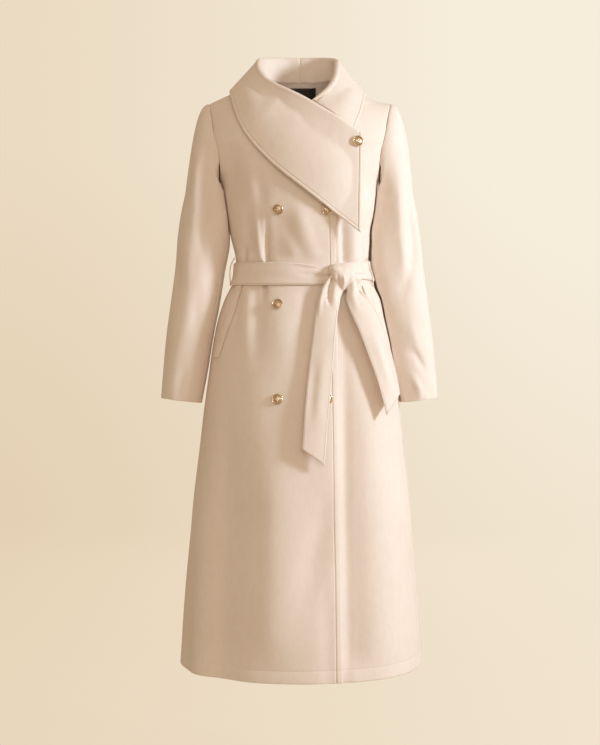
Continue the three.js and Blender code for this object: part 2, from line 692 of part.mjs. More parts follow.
function addButtons(lapel) {
  const { fold, share, inset, off } = LAPEL_BUTTON;
  const [before, end] = lapel.slice(-2).map((row) => row[fold].clone().lerp(row[fold + 1], share));
  const facing = gridNormal(lapel, lapel.length - 1, fold + 1).negate();
  const corner = towards(end, before, inset).addScaledVector(facing, COLLAR_CLOTH / 2 + off);
  addButton('lapel_button', corner, facing);
  for (const { name, x, z, off: sunk } of BUTTONS) {
    const seat = onBody(frontAngle(x, z), z, sunk);
    addButton(name, seat, outward(seat));
  }
}

addPanels();
addSleeves();
const lapelGrid = addCollar();
addBelt();
addTail('belt_end_right', RIGHT_TAIL);
addTail('belt_end_left', LEFT_TAIL);
addKnot();
addBeltLoops();
addPocketEdges();
addLabel();
addButtons(lapelGrid);

export default coat;
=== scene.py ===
"""Belted double-breasted wool coat: the cloth, trims, finishes, light and camera around its frame.

Lengths are millimetres until a mesh is made. +X is the wearer's left, the front faces -Y, +Z is up.
"""
import math

import bmesh
import bpy
import numpy as np
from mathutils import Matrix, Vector


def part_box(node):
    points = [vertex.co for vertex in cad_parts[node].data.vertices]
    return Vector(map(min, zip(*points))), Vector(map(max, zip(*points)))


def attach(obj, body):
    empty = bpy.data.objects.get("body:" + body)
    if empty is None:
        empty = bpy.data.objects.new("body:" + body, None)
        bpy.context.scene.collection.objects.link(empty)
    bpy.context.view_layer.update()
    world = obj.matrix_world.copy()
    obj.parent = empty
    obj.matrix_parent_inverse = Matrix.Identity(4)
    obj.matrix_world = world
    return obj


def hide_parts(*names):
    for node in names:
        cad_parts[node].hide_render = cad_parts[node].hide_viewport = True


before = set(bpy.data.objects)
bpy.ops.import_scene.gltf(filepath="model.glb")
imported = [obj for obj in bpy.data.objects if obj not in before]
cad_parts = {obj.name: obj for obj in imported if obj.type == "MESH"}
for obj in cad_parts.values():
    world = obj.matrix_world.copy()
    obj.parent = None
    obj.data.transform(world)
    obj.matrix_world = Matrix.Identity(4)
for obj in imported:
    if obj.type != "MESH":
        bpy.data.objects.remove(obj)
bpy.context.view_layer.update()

MM = 0.001

# ---------------------------------------------------------------- sizes, most of them as in the frame

COAT_CLOTH = 2.6
LOOP_CLOTH = 2.0
LABEL_CLOTH = 0.8
# These are drawn thicker than their solids, which are 3, 3 and 1.6 mm.
COLLAR_CLOTH = 4.2
BELT_CLOTH = 3.2
WELT_CLOTH = 2.2

NECK_HALF = 80
SHOULDER_HALF = 190
SHOULDER_DROP = 50
SHOULDER_SLOPE = SHOULDER_DROP / (SHOULDER_HALF - NECK_HALF)
SHOULDER_BEND = 0.9
SHOULDER_ROUND = 110
NECK_CLIMB = 0.02
RIDGE_Y = 5
RING_POWER = 2.2
HEM_Z = -1217
HEM_DIP = 6
HEM_DIP_FROM = -1120
HEM_TURN_UP = 25
BUST_Z = -330
UNDERARM_Z = -218
FRONT_EDGE_TOP = 70
FRONT_EDGE_TOP_Z = -140
FRONT_EDGE_HEM = 85
UNDERLAP_SINK = COAT_CLOTH + 2
UNDERLAP_CLEAR = 3
UNDERLAP_RUN = 24
BELT_WIDTH = 48
BELT_Z = -402
BELT_TILT = 10
BELT_OFF = 1.4

# Stitch lines: how far in from the edge they run, and how deep they are pressed.
EDGE_STITCH = 13.5
EDGE_PRESS = 1.1
HEM_PRESS = 0.35
COLLAR_STITCH = 7.5
COLLAR_PRESS = 0.8
WELT_STITCH = 2.3
WELT_PRESS = 0.4

SIDES = ((-1, "right"), (1, "left"))


def table(columns, *rows):
    """A table with named columns, a row for each section, point or fold."""
    return dict(zip(columns.split(), np.array(rows, float).T))


# Rings of the body: half-widths on the wearer's right and left, half-depths front and back.
RINGS = table(
    "z right left front back",
    (-1230, 253, 257, 199, 197),
    (-1134, 246, 252, 192, 190),
    (-1000, 234, 241, 182, 178),
    (-882, 222, 229, 172, 167),
    (-780, 211, 218, 163, 157),
    (-700, 203, 210, 156, 150),
    (-620, 191, 199, 147, 142),
    (-554, 181, 189, 136, 131),
    (-500, 170, 177, 124, 118),
    (-462, 158, 169, 115, 107),
    (-440, 148, 158, 109, 100),
    (-420, 137, 152, 105, 95),
    (-395, 134, 144, 103, 93),
    (-370, 136, 144, 107, 95),
    (-345, 142, 146, 114, 99),
    (-315, 149, 147, 121, 103),
    (-285, 155, 154, 126, 106),
    (-250, 161, 159, 127, 109),
    (-218, 166, 164, 124, 111),
    (-190, 178, 177, 119, 113),
    (-160, 190, 189, 112, 113),
    (-130, 203, 202, 105, 111),
    (-95, 209, 208, 96, 106),
    (-50, 212, 212, 76, 96),
    (-20, 214, 214, 62, 86),
    (20, 216, 216, 52, 74),
)

# The armhole: how far its edge lies in front of and behind the side line, in degrees.
ARMHOLE = table(
    "z front back",
    (-218, 0, 0),
    (-208, 12, 13),
    (-192, 21, 23),
    (-170, 27, 30),
    (-145, 30.5, 33),
    (-120, 31.5, 33),
    (-90, 31, 32),
    (-68, 29.5, 30),
    (-50, 27.6, 27.6),
)

# Neck seams, from the wearer's right front edge or the centre back to the neck point.
FRONT_NECK = table(
    "x z",
    (70, -140),
    (35, -116),
    (0, -97),
    (-28, -83),
    (-52, -68),
    (-68, -50),
    (-76, -28),
    (-79, -12),
    (-80, 0),
)
BACK_NECK = table("x z", (0, 12), (-25, 11), (-50, 8), (-70, 4), (-80, 0))
SHOULDER_COLUMNS = 4

# Sleeve sections, square to the sleeve's axis. clear is the least distance off the body, and right
# and left are how much fuller each sleeve is on the side next to the body.
SLEEVE_SECTIONS = table(
    "z out across deep forward clear right left",
    (-245, 201, 39, 68, 2, 2.5, 15, 15),
    (-290, 201, 48, 66, 3, 3, 14, 14),
    (-340, 202, 54, 62, 5, 5.5, 5, 17),
    (-400, 209, 52, 59, 8, 6, 0, 18),
    (-470, 219, 51, 57, 12, 4, 0, 13),
    (-540, 230, 49, 55, 16, 3, 0, 11),
    (-610, 239, 46.3, 53, 20, 3, 0, 8),
    (-672, 247, 43, 50, 23, 4.5, 0, 0),
)
SLEEVE_LEAN = math.radians(6.9)
# Yoke shares where the armhole's ring points lie, from the underarm to the shoulder point.
RING_SHARES = (0.4, 0.43, 0.48, 0.56, 0.66, 0.77, 0.87, 0.94, 0.98, 1)
# Ring points round the whole armhole, and about how far apart they lie.
RING_POINTS = 18
RING_SPAN = 19.0
# The ring point where the back seam of a sleeve starts.
BACK_SEAM = 15

# Collar rows round the neck: the fold (roll) and the outer edge, with the edge's lift off the coat.
RIGHT_COLLAR = table(
    "rx ry rz ex ey ez lift",
    (0, 84, 64, 0, 112, -72, 4),
    (-28, 81, 64, -45, 111, -71, 4),
    (-56, 68, 61, -88, 103, -68, 4.5),
    (-77, 45, 55, -124, 78, -60, 7),
    (-86, 15, 46, -143, 10, -30, 6),
    (-87, -4, 34, -144, -18, -38, 6),
    (-82, -28, 13, -139, -40, -57, 6),
    (-67, -52, -9, -127, -63, -90, 6),
    (-46, -72, -25, -105, -88, -135, 6),
    (-20, -88, -40, -72, -106, -177, 7),
    (8, -99, -56, -32, -118, -216, 9),
    (40, -107, -76, 20, -125, -257, 11),
    (80, -111, -101, 72, -127, -296, 12),
    (125, -107, -132, 122, -121, -333, 10),
)
# Where the seam of the lapel ends on the front: x, z and how far it is lifted off the coat.
RIGHT_COLLAR_END = (122, -168, 8)
LEFT_COLLAR = table(
    "rx ry rz ex ey ez lift",
    (0, 84, 64, 0, 112, -72, 4),
    (28, 81, 64, 45, 111, -71, 4),
    (54, 68, 61, 85, 103, -67, 4.5),
    (72, 45, 54, 117, 78, -58, 7),
    (78, 15, 44, 134, 10, -36, 5),
    (77, -6, 28, 134, -20, -44, 5),
    (74, -30, 5, 130, -42, -62, 4.5),
    (65, -53, -18, 122, -66, -88, 4),
    (49, -70, -39, 112, -78, -111, 3.5),
    (27, -84, -60, 105, -84, -130, 3.5),
)
# Half the thickness of the roll, which is fuller than the solid's 3.4 mm, and how far below the neck
# seam the collar's own edge is sewn.
ROLL_HALF = 5.0
COLLAR_SEAT = -3

# ---------------------------------------------------------------- curves, grids and the body's form


def smooth(t):
    """0 up to 0, 1 from 1 on, and a soft rise between."""
    t = np.clip(t, 0, 1)
    return t * t * (3 - 2 * t)


def lerp(a, b, t):
    return a + (b - a) * t


def follow(rows, by, column, at):
    """A smooth curve through one column of a table whose rows rise in the key by."""
    keys = rows[by]
    values = rows[column]
    at = np.asarray(at, float)
    below = np.maximum(np.arange(len(keys)) - 1, 0)
    above = np.minimum(np.arange(len(keys)) + 1, len(keys) - 1)
    slope = (values[above] - values[below]) / (keys[above] - keys[below])
    i = np.clip(np.searchsorted(keys, at, side="right") - 1, 0, len(keys) - 2)
    span = keys[i + 1] - keys[i]
    t = np.clip((at - keys[i]) / span, 0, 1)
    bend = slope[i] * t * (1 - t) ** 2 - slope[i + 1] * t * t * (1 - t)
    return lerp(values[i], values[i + 1], smooth(t)) + bend * span


def along(values, at):
    """A smooth curve through evenly numbered values, read at a number that may lie between them."""
    values = np.asarray(values, float)
    rows = {"n": np.arange(len(values), dtype=float)}
    if values.ndim == 1:
        rows["v"] = values
        return follow(rows, "n", "v", at)
    columns = []
    for k in range(values.shape[1]):
        rows["v"] = values[:, k]
        columns.append(follow(rows, "n", "v", at))
    return np.stack(columns, axis=-1)


def spread(length, step, first=(), last=()):
    """Shares of a length, a step apart, with closer ones at given distances from either end."""
    near = list(first)
    far = [length - d for d in reversed(last)]
    start = near[-1] if near else 0
    stop = far[0] if far else length
    count = max(int(round((stop - start) / step)), 2)
    middle = list(np.linspace(start, stop, count + 1))
    return np.array(near[:-1] + middle + far[1:]) / length


def run_length(path):
    """How far along a line of points each of them lies."""
    return np.concatenate([[0], np.cumsum(np.linalg.norm(np.diff(path, axis=0), axis=-1))])


def points_along(rows, names, at):
    """A smooth curve through points whose x, y and z are three named columns of a table."""
    return along(np.stack([rows[name] for name in names.split()], axis=-1), at)


def read_line(points, length, at):
    """Points of a finely drawn line, read at distances along it."""
    return np.stack([np.interp(at, length, points[:, k]) for k in range(3)], axis=-1)


# Distances from an edge that draw its roundness, and from a seam that draw its dip.
ROUND_EDGE = (0, 0.2, 0.5, 0.9, 1.4, 2.2, 3.2, 4.4)
SEAM_EDGE = (0, 0.7, 1.5, 2.6, 4.2)
# Distances from a stitch line that draw its groove.
GROOVE = (-2.2, -1.4, -0.8, -0.3, 0.2, 0.7, 1.3, 2.1, 3.5)


def stitched_edge(at):
    """Distances from a free edge that draw its roundness and the groove of its stitch line."""
    groove = [at + d for d in GROOVE]
    round_end = [ROUND_EDGE[-1]] if ROUND_EDGE[-1] < groove[0] - 0.5 else []
    return (*ROUND_EDGE[:-1], *round_end, *groove)


def half_width(x, z):
    """The body's half-width at this height, on the side where x lies."""
    return np.where(x < 0, follow(RINGS, "z", "right", z), follow(RINGS, "z", "left", z))


def ridge(x):
    """Height of the shoulder line; the wearer's left one drops early, under the collar."""
    out = np.abs(x) - NECK_HALF
    straight = -SHOULDER_SLOPE * out
    rest = np.maximum(1 - out / (SHOULDER_HALF - NECK_HALF), 0)
    bent = -SHOULDER_BEND * SHOULDER_DROP * (1 - rest**2) + (1 - SHOULDER_BEND) * straight
    return np.where(out <= 0, straight + NECK_CLIMB * out * out, np.where(x < 0, straight, bent))


def fullness(x, z):
    """How much of its depth the body has here: it thins out towards the shoulder line."""
    down = np.clip((ridge(x) - z) / SHOULDER_ROUND, 0, 1)
    return np.sqrt(1 - (1 - down) ** 2)


def body_point(angle, z):
    """Outer surface of the body. The angle is 0 at the centre front and 90 at the wearer's left."""
    s = np.sin(np.radians(angle))
    c = np.cos(np.radians(angle))
    x = np.sign(s) * half_width(s, z) * np.abs(s) ** (2 / RING_POWER)
    depth = np.where(c > 0, follow(RINGS, "z", "front", z), follow(RINGS, "z", "back", z))
    y = -np.sign(c) * depth * np.abs(c) ** (2 / RING_POWER)
    return np.stack([x, RIDGE_Y + (y - RIDGE_Y) * fullness(x, z), z + 0 * x], axis=-1)


def front_angle(x, z):
    """The angle at which the front of the body has this x."""
    share = np.minimum(np.abs(x) / half_width(x, z), 1) ** (RING_POWER / 2)
    return np.sign(x) * np.degrees(np.arcsin(share))


def body_level(p):
    """Below 0 inside the body and above 0 outside it."""
    x, y, z = p[..., 0], p[..., 1], p[..., 2]
    across = (np.abs(x) / half_width(x, z)) ** RING_POWER
    full = fullness(x, z)
    seat = RIDGE_Y * (1 - full)
    depth = np.where(y < seat, follow(RINGS, "z", "front", z), follow(RINGS, "z", "back", z))
    return (np.abs(y - seat) / depth) ** RING_POWER - (1 - across) * full**RING_POWER


# Half a millimetre either way, so that a difference between the two is the slope per millimetre.
PROBE = 0.5


def level_slope(p):
    """Which way body_level rises, and by how much a millimetre."""
    slope = np.empty_like(p)
    for axis in range(3):
        reach = np.zeros(3)
        reach[axis] = PROBE
        slope[..., axis] = body_level(p + reach) - body_level(p - reach)
    return slope


def outward(p):
    """The way straight out of the body."""
    slope = level_slope(p)
    return slope / np.linalg.norm(slope, axis=-1, keepdims=True)


# The shoulders' depth is taken this far below the ridge. The two shares keep its roots finite.
COVER_BELOW = 20
COVER_ACROSS = 0.98
COVER_REACH = 0.97


def shoulder_cover(x, y):
    """Height of the shoulders' rounded top over x, y, and how near y is to the front or back face."""
    near = ridge(x) - COVER_BELOW
    full_depth = np.where(y < RIDGE_Y, follow(RINGS, "z", "front", near), follow(RINGS, "z", "back", near))
    across = np.minimum((np.abs(x) / half_width(x, near)) ** RING_POWER, COVER_ACROSS)
    depth = full_depth * (1 - across) ** (1 / RING_POWER)
    reach = np.minimum(np.abs(y - RIDGE_Y) / depth, COVER_REACH)
    return ridge(x) - SHOULDER_ROUND * (1 - np.sqrt(1 - reach**2)), reach


# Points within this share of the shoulders' depth move up off them, and those beyond it outwards.
TOPWARD_REACH = 0.82
TOPWARD_FADE = 0.25
STAND_OFF_ROUNDS = 6


def stand_off(p, distance):
    """The points moved straight out from the body until they are at least this far off it."""
    p = np.array(p, float)
    distance = np.broadcast_to(distance, p.shape[:-1])
    for _ in range(STAND_OFF_ROUNDS):
        slope = level_slope(p)
        size = np.linalg.norm(slope, axis=-1)
        side_gap = body_level(p) / size
        side_push = slope / size[..., None] * np.maximum(distance - side_gap, 0)[..., None]
        x, y, z = p[..., 0], p[..., 1], p[..., 2]
        top, reach = shoulder_cover(x, y)
        over_x = shoulder_cover(x + PROBE, y)[0] - shoulder_cover(x - PROBE, y)[0]
        over_y = shoulder_cover(x, y + PROBE)[0] - shoulder_cover(x, y - PROBE)[0]
        up = np.stack([-over_x, -over_y, np.ones_like(over_x)], axis=-1)
        up /= np.linalg.norm(up, axis=-1, keepdims=True)
        top_gap = (z - top) * up[..., 2]
        top_push = up * np.maximum(distance - top_gap, 0)[..., None]
        topward = smooth((TOPWARD_REACH - reach) / TOPWARD_FADE) * (z > ridge(x) - SHOULDER_ROUND)
        p = p + lerp(side_push, top_push, topward[..., None])
    return p


def on_body(angle, z, off):
    """A point off the body's unfolded surface."""
    p = body_point(np.asarray(angle, float), np.asarray(z, float))
    return p + outward(p) * np.asarray(off)[..., None]


def front_edge(z):
    """How far beyond the middle each front reaches at this height."""
    share = np.clip((z - FRONT_EDGE_TOP_Z) / (HEM_Z - FRONT_EDGE_TOP_Z), 0, 1)
    return lerp(FRONT_EDGE_TOP, FRONT_EDGE_HEM, share)


# ---------------------------------------------------------------- folds

# A fold is a soft trough (deep below 0) or ridge: a straight run from x0, z0 to x1, z1,
# its half-width on either side, its depth, and the shares over which it fades in and out.
FOLD = "x0 z0 x1 z1 left right deep fade0 fade1"

FRONT_FOLDS = table(
    FOLD,
    # gathers that run down into the belt
    (-69, -286, -68, -396, 2.8, 5.5, -11.0, 0.85, 0),
    (-66, -262, -64, -396, 9, 15, -3.5, 0.8, 0),
    (-92, -268, -75, -396, 7, 5, 6.5, 0.7, 0),
    (-108, -268, -104, -380, 9, 9, -4.5, 0.5, 0.2),
    (-113, -345, -116, -396, 2.5, 5, -9.0, 0.7, 0),
    (-124, -330, -126, -396, 5, 4, 3.0, 0.7, 0),
    (-44, -250, -40, -394, 16, 26, -4.0, 0.5, 0.1),
    (-40, -290, 10, -388, 12, 12, -2.2, 0.5, 0.2),
    (-14, -262, 34, -388, 14, 14, 2.2, 0.4, 0.1),
    (88, -296, 92, -402, 7, 8, -7.0, 0.35, 0),
    (79, -296, 80, -400, 5, 5, 2.5, 0.5, 0.1),
    (112, -300, 110, -396, 9, 10, 4.0, 0.6, 0.1),
    (130, -330, 127, -396, 6, 7, -4.0, 0.6, 0),
    # and out of it below
    (-73, -426, -76, -480, 3.2, 6, -8.0, 0, 0.75),
    (-86, -430, -88, -640, 13, 17, -3.0, 0.1, 0.7),
    (-106, -430, -112, -620, 14, 13, 4.5, 0.1, 0.7),
    (-126, -436, -148, -580, 12, 12, -3.0, 0.05, 0.7),
    (-34, -440, -36, -660, 26, 28, 3.0, 0.3, 0.6),
    (12, -440, 22, -600, 14, 18, -3.0, 0.1, 0.7),
    # the skirt's long soft flares
    (-144, -540, -158, -1230, 24, 42, -11.0, 0.45, 0),
    (-190, -680, -206, -1230, 22, 22, 6.0, 0.6, 0),
    (-222, -860, -234, -1230, 16, 16, -4.0, 0.6, 0),
    (-44, -700, -50, -1230, 46, 60, 10.0, 0.35, 0.2),
    (64, -830, -4, -1110, 24, 28, -6.0, 0.4, 0.5),
    (52, -1000, 58, -1230, 18, 18, -3.0, 0.5, 0),
    (92, -540, 104, -1230, 18, 30, -12.0, 0.3, 0.1),
    (160, -560, 176, -1230, 36, 40, 4.0, 0.5, 0),
    (226, -900, 236, -1230, 20, 20, -4.0, 0.6, 0),
    # soft drag over the chest
    (-150, -110, -128, -290, 16, 20, -6.0, 0.4, 0.5),
    (-104, -170, -92, -300, 11, 12, 3.0, 0.5, 0.5),
    (-84, -200, -76, -300, 12, 13, -2.6, 0.5, 0.5),
    (4, -262, -6, -390, 20, 24, 2.5, 0.4, 0.2),
    (138, -170, 132, -310, 12, 14, -3.5, 0.5, 0.6),
)

# The back's folds: a little blousing over the belt, and flares that start below it.
BACK_FOLDS = table(
    FOLD,
    (-96, -262, -86, -384, 10, 12, -4.0, 0.6, 0.05),
    (-112, -290, -106, -384, 10, 9, 2.8, 0.6, 0.05),
    (-44, -250, -34, -384, 14, 12, -3.2, 0.6, 0.05),
    (-18, -280, -14, -384, 10, 10, 2.2, 0.6, 0.05),
    (30, -270, 26, -384, 12, 13, -3.6, 0.6, 0.05),
    (62, -240, 54, -384, 12, 12, 2.6, 0.6, 0.05),
    (92, -280, 88, -384, 11, 9, -4.4, 0.6, 0.05),
    (-84, -416, -92, -540, 11, 11, -4.2, 0.05, 0.7),
    (-34, -416, -40, -520, 11, 12, -3.2, 0.05, 0.7),
    (28, -416, 30, -560, 13, 12, -3.6, 0.05, 0.7),
    (86, -416, 98, -530, 11, 11, -4.4, 0.05, 0.7),
    (-60, -430, -74, -640, 18, 18, 3.4, 0.2, 0.6),
    (60, -430, 72, -620, 18, 18, 3.0, 0.2, 0.6),
    (-112, -640, -134, -1230, 30, 34, -8.0, 0.6, 0),
    (-58, -600, -68, -1230, 34, 34, 6.0, 0.5, 0.1),
    (4, -660, 8, -1230, 30, 28, -7.0, 0.6, 0),
    (66, -620, 84, -1230, 34, 34, 5.5, 0.5, 0.1),
    (126, -700, 146, -1230, 32, 30, -7.5, 0.6, 0),
    (-186, -760, -204, -1230, 26, 26, 4.5, 0.6, 0),
    (190, -740, 208, -1230, 26, 26, 4.5, 0.6, 0),
    (-150, -120, -124, -250, 18, 18, -2.2, 0.4, 0.5),
    (148, -120, 122, -250, 18, 18, -2.2, 0.4, 0.5),
)

# Folds of the sleeves: x is the turn round the sleeve in degrees (0 outside, 90 front, 180 next to
# the body), of which each is just under a millimetre of girth, and z the height. All of them are
# laid deeper than the tables say, by this factor.
SLEEVE_RELIEF = 1.25
RIGHT_SLEEVE_FOLDS = table(
    FOLD,
    (58, -130, 66, -320, 15, 14, 3.6, 0.5, 0.6),
    (92, -130, 100, -390, 17, 24, -7.0, 0.4, 0.4),
    (26, -150, 48, -250, 10, 12, -3.5, 0.5, 0.5),
    (50, -290, 72, -468, 15, 15, 3.2, 0.5, 0.5),
    (76, -262, 100, -392, 12, 11, -3.8, 0.5, 0.5),
    (28, -330, 44, -520, 16, 18, -2.4, 0.5, 0.5),
    (92, -420, 112, -560, 14, 14, -2.6, 0.5, 0.5),
    (64, -500, 60, -672, 20, 20, 2.4, 0.5, 0.1),
    (98, -590, 84, -672, 12, 12, -2.0, 0.5, 0.1),
    (-60, -260, -84, -400, 12, 12, -3.6, 0.5, 0.5),
    (-40, -300, -60, -470, 13, 13, 2.8, 0.5, 0.5),
    (-96, -330, -80, -470, 12, 12, -3.0, 0.5, 0.5),
    (-84, -520, -72, -672, 16, 16, 2.2, 0.5, 0.1),
)
LEFT_SLEEVE_FOLDS = table(
    FOLD,
    (50, -190, 54, -402, 12, 16, -4.4, 0.4, 0.15),
    (54, -372, 104, -470, 12, 13, -4.2, 0.2, 0.5),
    (86, -200, 78, -452, 15, 13, 3.8, 0.4, 0.4),
    (112, -180, 116, -330, 12, 12, -3.0, 0.5, 0.5),
    (26, -260, 34, -500, 15, 15, 2.4, 0.5, 0.5),
    (92, -480, 76, -590, 15, 15, 2.4, 0.5, 0.5),
    (96, -560, 58, -622, 10, 10, -3.8, 0.3, 0.5),
    (104, -606, 78, -668, 9, 10, 3.6, 0.4, 0.3),
    (60, -640, 52, -672, 12, 12, -2.4, 0.5, 0.1),
    (-60, -260, -84, -400, 12, 12, -3.6, 0.5, 0.5),
    (-40, -310, -60, -480, 13, 13, 2.8, 0.5, 0.5),
    (-96, -340, -80, -480, 12, 12, -3.0, 0.5, 0.5),
    (-84, -520, -72, -672, 16, 16, 2.2, 0.5, 0.1),
)


def fold_height(rows, x, z):
    """The height of all the folds of a table over the points x, z."""
    height = np.zeros(np.broadcast(x, z).shape)
    for x0, z0, x1, z1, left, right, deep, fade0, fade1 in zip(*rows.values()):
        run = math.hypot(x1 - x0, z1 - z0)
        ux, uz = (x1 - x0) / run, (z1 - z0) / run
        t = ((x - x0) * ux + (z - z0) * uz) / run
        aside = -(x - x0) * uz + (z - z0) * ux
        wide = np.where(aside < 0, left, right)
        rise = smooth(t / fade0) if fade0 else (t > 0)
        fall = smooth((1 - t) / fade1) if fade1 else (t < 1)
        height += deep * np.exp(-((aside / wide) ** 2)) * rise * fall
    return height


def belt_level(angle):
    """The height of the belt's middle, which tilts down towards the front."""
    return BELT_Z - BELT_TILT * np.cos(np.radians(angle))


# Cloth is pressed under the belt to this share of its folds, over this share of the half-width.
PRESSED = 0.08
PRESS_FADE = 0.3


def under_belt(angle, z, start):
    """1 away from the belt and small beneath it, from this share of its half-width inwards."""
    near = np.abs(z - belt_level(angle)) / (BELT_WIDTH / 2)
    return lerp(PRESSED, 1, smooth((near - start) / PRESS_FADE))


# ---------------------------------------------------------------- cloth as closed shells


def grid_normals(grid, ring=False):
    down = np.gradient(grid, axis=0)
    if ring:
        over = (np.roll(grid, -1, axis=1) - np.roll(grid, 1, axis=1)) / 2
    else:
        over = np.gradient(grid, axis=1)
    normals = np.cross(down, over)
    return normals / np.maximum(np.linalg.norm(normals, axis=-1, keepdims=True), 1e-9)


def edge_distance(grid, edge):
    """How far each point lies from one edge of its grid, along the cloth."""
    axis = 1 if edge in ("first", "last") else 0
    steps = np.linalg.norm(np.diff(grid, axis=axis), axis=-1)
    zero = np.zeros_like(grid[..., 0].take([0], axis=axis))
    if edge in ("first", "bottom"):
        return np.concatenate([zero, np.cumsum(steps, axis=axis)], axis=axis)
    back = np.flip(np.cumsum(np.flip(steps, axis), axis=axis), axis)
    return np.concatenate([back, zero], axis=axis)


def place_in_scene(name, data):
    holder = bpy.data.objects.new(name, data)
    bpy.context.scene.collection.objects.link(holder)
    return holder


def new_object(name, points, faces, material):
    name = name.replace(" ", "_")
    mesh = bpy.data.meshes.new(name)
    mesh.from_pydata((np.asarray(points) * MM).tolist(), [], faces)
    mesh.update()
    tidy = bmesh.new()
    tidy.from_mesh(mesh)
    bmesh.ops.recalc_face_normals(tidy, faces=tidy.faces)
    tidy.to_mesh(mesh)
    tidy.free()
    mesh.polygons.foreach_set("use_smooth", [True] * len(mesh.polygons))
    mesh.materials.append(material)
    return place_in_scene(name, mesh)


def round_faces(rows, columns):
    """Faces between rings of points that lie one after another."""
    faces = []
    for i in range(rows - 1):
        for j in range(columns):
            k = (j + 1) % columns
            faces.append((i * columns + j, i * columns + k, (i + 1) * columns + k, (i + 1) * columns + j))
    return faces


def wall_faces(rows, columns, ring):
    """Faces of a closed wall whose outer points come before its inner ones, row by row."""
    spans = columns if ring else columns - 1
    i, j = np.meshgrid(np.arange(rows - 1), np.arange(spans), indexing="ij")
    a = (i * columns + j).ravel()
    b = (i * columns + (j + 1) % columns).ravel()
    outer = np.stack([a, b, b + columns, a + columns], axis=1)
    layer = rows * columns
    faces = [outer, outer[:, ::-1] + layer]
    j = np.arange(spans)
    for row in (0, rows - 1):
        a = row * columns + j
        b = row * columns + (j + 1) % columns
        rim = np.stack([a, b, b + layer, a + layer], axis=1)
        faces.append(rim[:, ::-1] if row == 0 else rim)
    if not ring:
        i = np.arange(rows - 1) * columns
        for column in (0, columns - 1):
            a = i + column
            rim = np.stack([a, a + columns, a + columns + layer, a + layer], axis=1)
            faces.append(rim if column == 0 else rim[:, ::-1])
    return np.concatenate(faces).tolist()


# A free edge is rounded over a share of the cloth's thickness, down to a least share of it. A seam
# dips, a stitch line presses a groove, and the cloth swells between that line and the edge.
EDGE_ROUND = 0.75
EDGE_THIN = 0.16
SEAM_DIP = 0.9
SEAM_HALF = 1.5
GROOVE_HALF = 1.1
SWELL = 0.35
SWELL_RUN = 3


def cloth_shell(name, grid, cloth, material, away, free=(), seams=(), stitched=(), ring=False, centred=False):
    """A closed shell of cloth. free edges are rounded, seams dip, stitched lines are pressed in.

    grid holds the outer side, or the middle where centred. away gives the way out at its points.
    """
    normals = grid_normals(grid, ring)
    facing = np.sum(normals * away(grid), axis=-1)
    if np.mean(facing) < 0:
        normals = -normals
    middle = grid if centred else grid - normals * (cloth / 2)
    half = np.full(grid.shape[:2], cloth / 2)
    for edge in free:
        share = np.clip(edge_distance(grid, edge) / (EDGE_ROUND * cloth), 0, 1)
        half = half * np.maximum(np.sqrt(1 - (1 - share) ** 2), EDGE_THIN)
    relief = np.zeros(grid.shape[:2])
    for edge in seams:
        relief -= SEAM_DIP * np.exp(-((edge_distance(grid, edge) / SEAM_HALF) ** 2))
    for edge, at, deep in stitched:
        distance = edge_distance(grid, edge)
        relief -= deep * np.exp(-(((distance - at) / GROOVE_HALF) ** 2))
        relief += SWELL * deep * smooth(distance / SWELL_RUN) * smooth((at - distance) / SWELL_RUN)
    outer = middle + normals * (half + relief)[..., None]
    inner = middle - normals * half[..., None]
    points = np.concatenate([outer.reshape(-1, 3), inner.reshape(-1, 3)])
    piece = new_object(name, points, wall_faces(*grid.shape[:2], ring), material)
    return piece, outer


def from_axis(grid):
    """The way out from the coat's upright middle line."""
    return grid * np.array([1, 1, 0])


def drift(p):
    """Slow unevenness of hanging cloth, in millimetres."""
    x, y, z = p[..., 0], p[..., 1], p[..., 2]
    wave = 0.5 * np.sin(x / 31 + z / 87 + 1.3) + 0.45 * np.sin(z / 46 - y / 38 + 0.4)
    return wave + 0.35 * np.sin((x + y) / 23 - z / 61 + 2.2)


# ---------------------------------------------------------------- the coat's panels


def top_line(neck, side):
    """A panel's upper seam on either side: along the neck, then out along the shoulder."""
    out = np.linspace(NECK_HALF, SHOULDER_HALF, SHOULDER_COLUMNS + 1)[1:]
    x = np.concatenate([neck["x"], -out])
    z = np.concatenate([neck["z"], ridge(side * out)])
    return np.stack([-side * x, z], axis=-1)


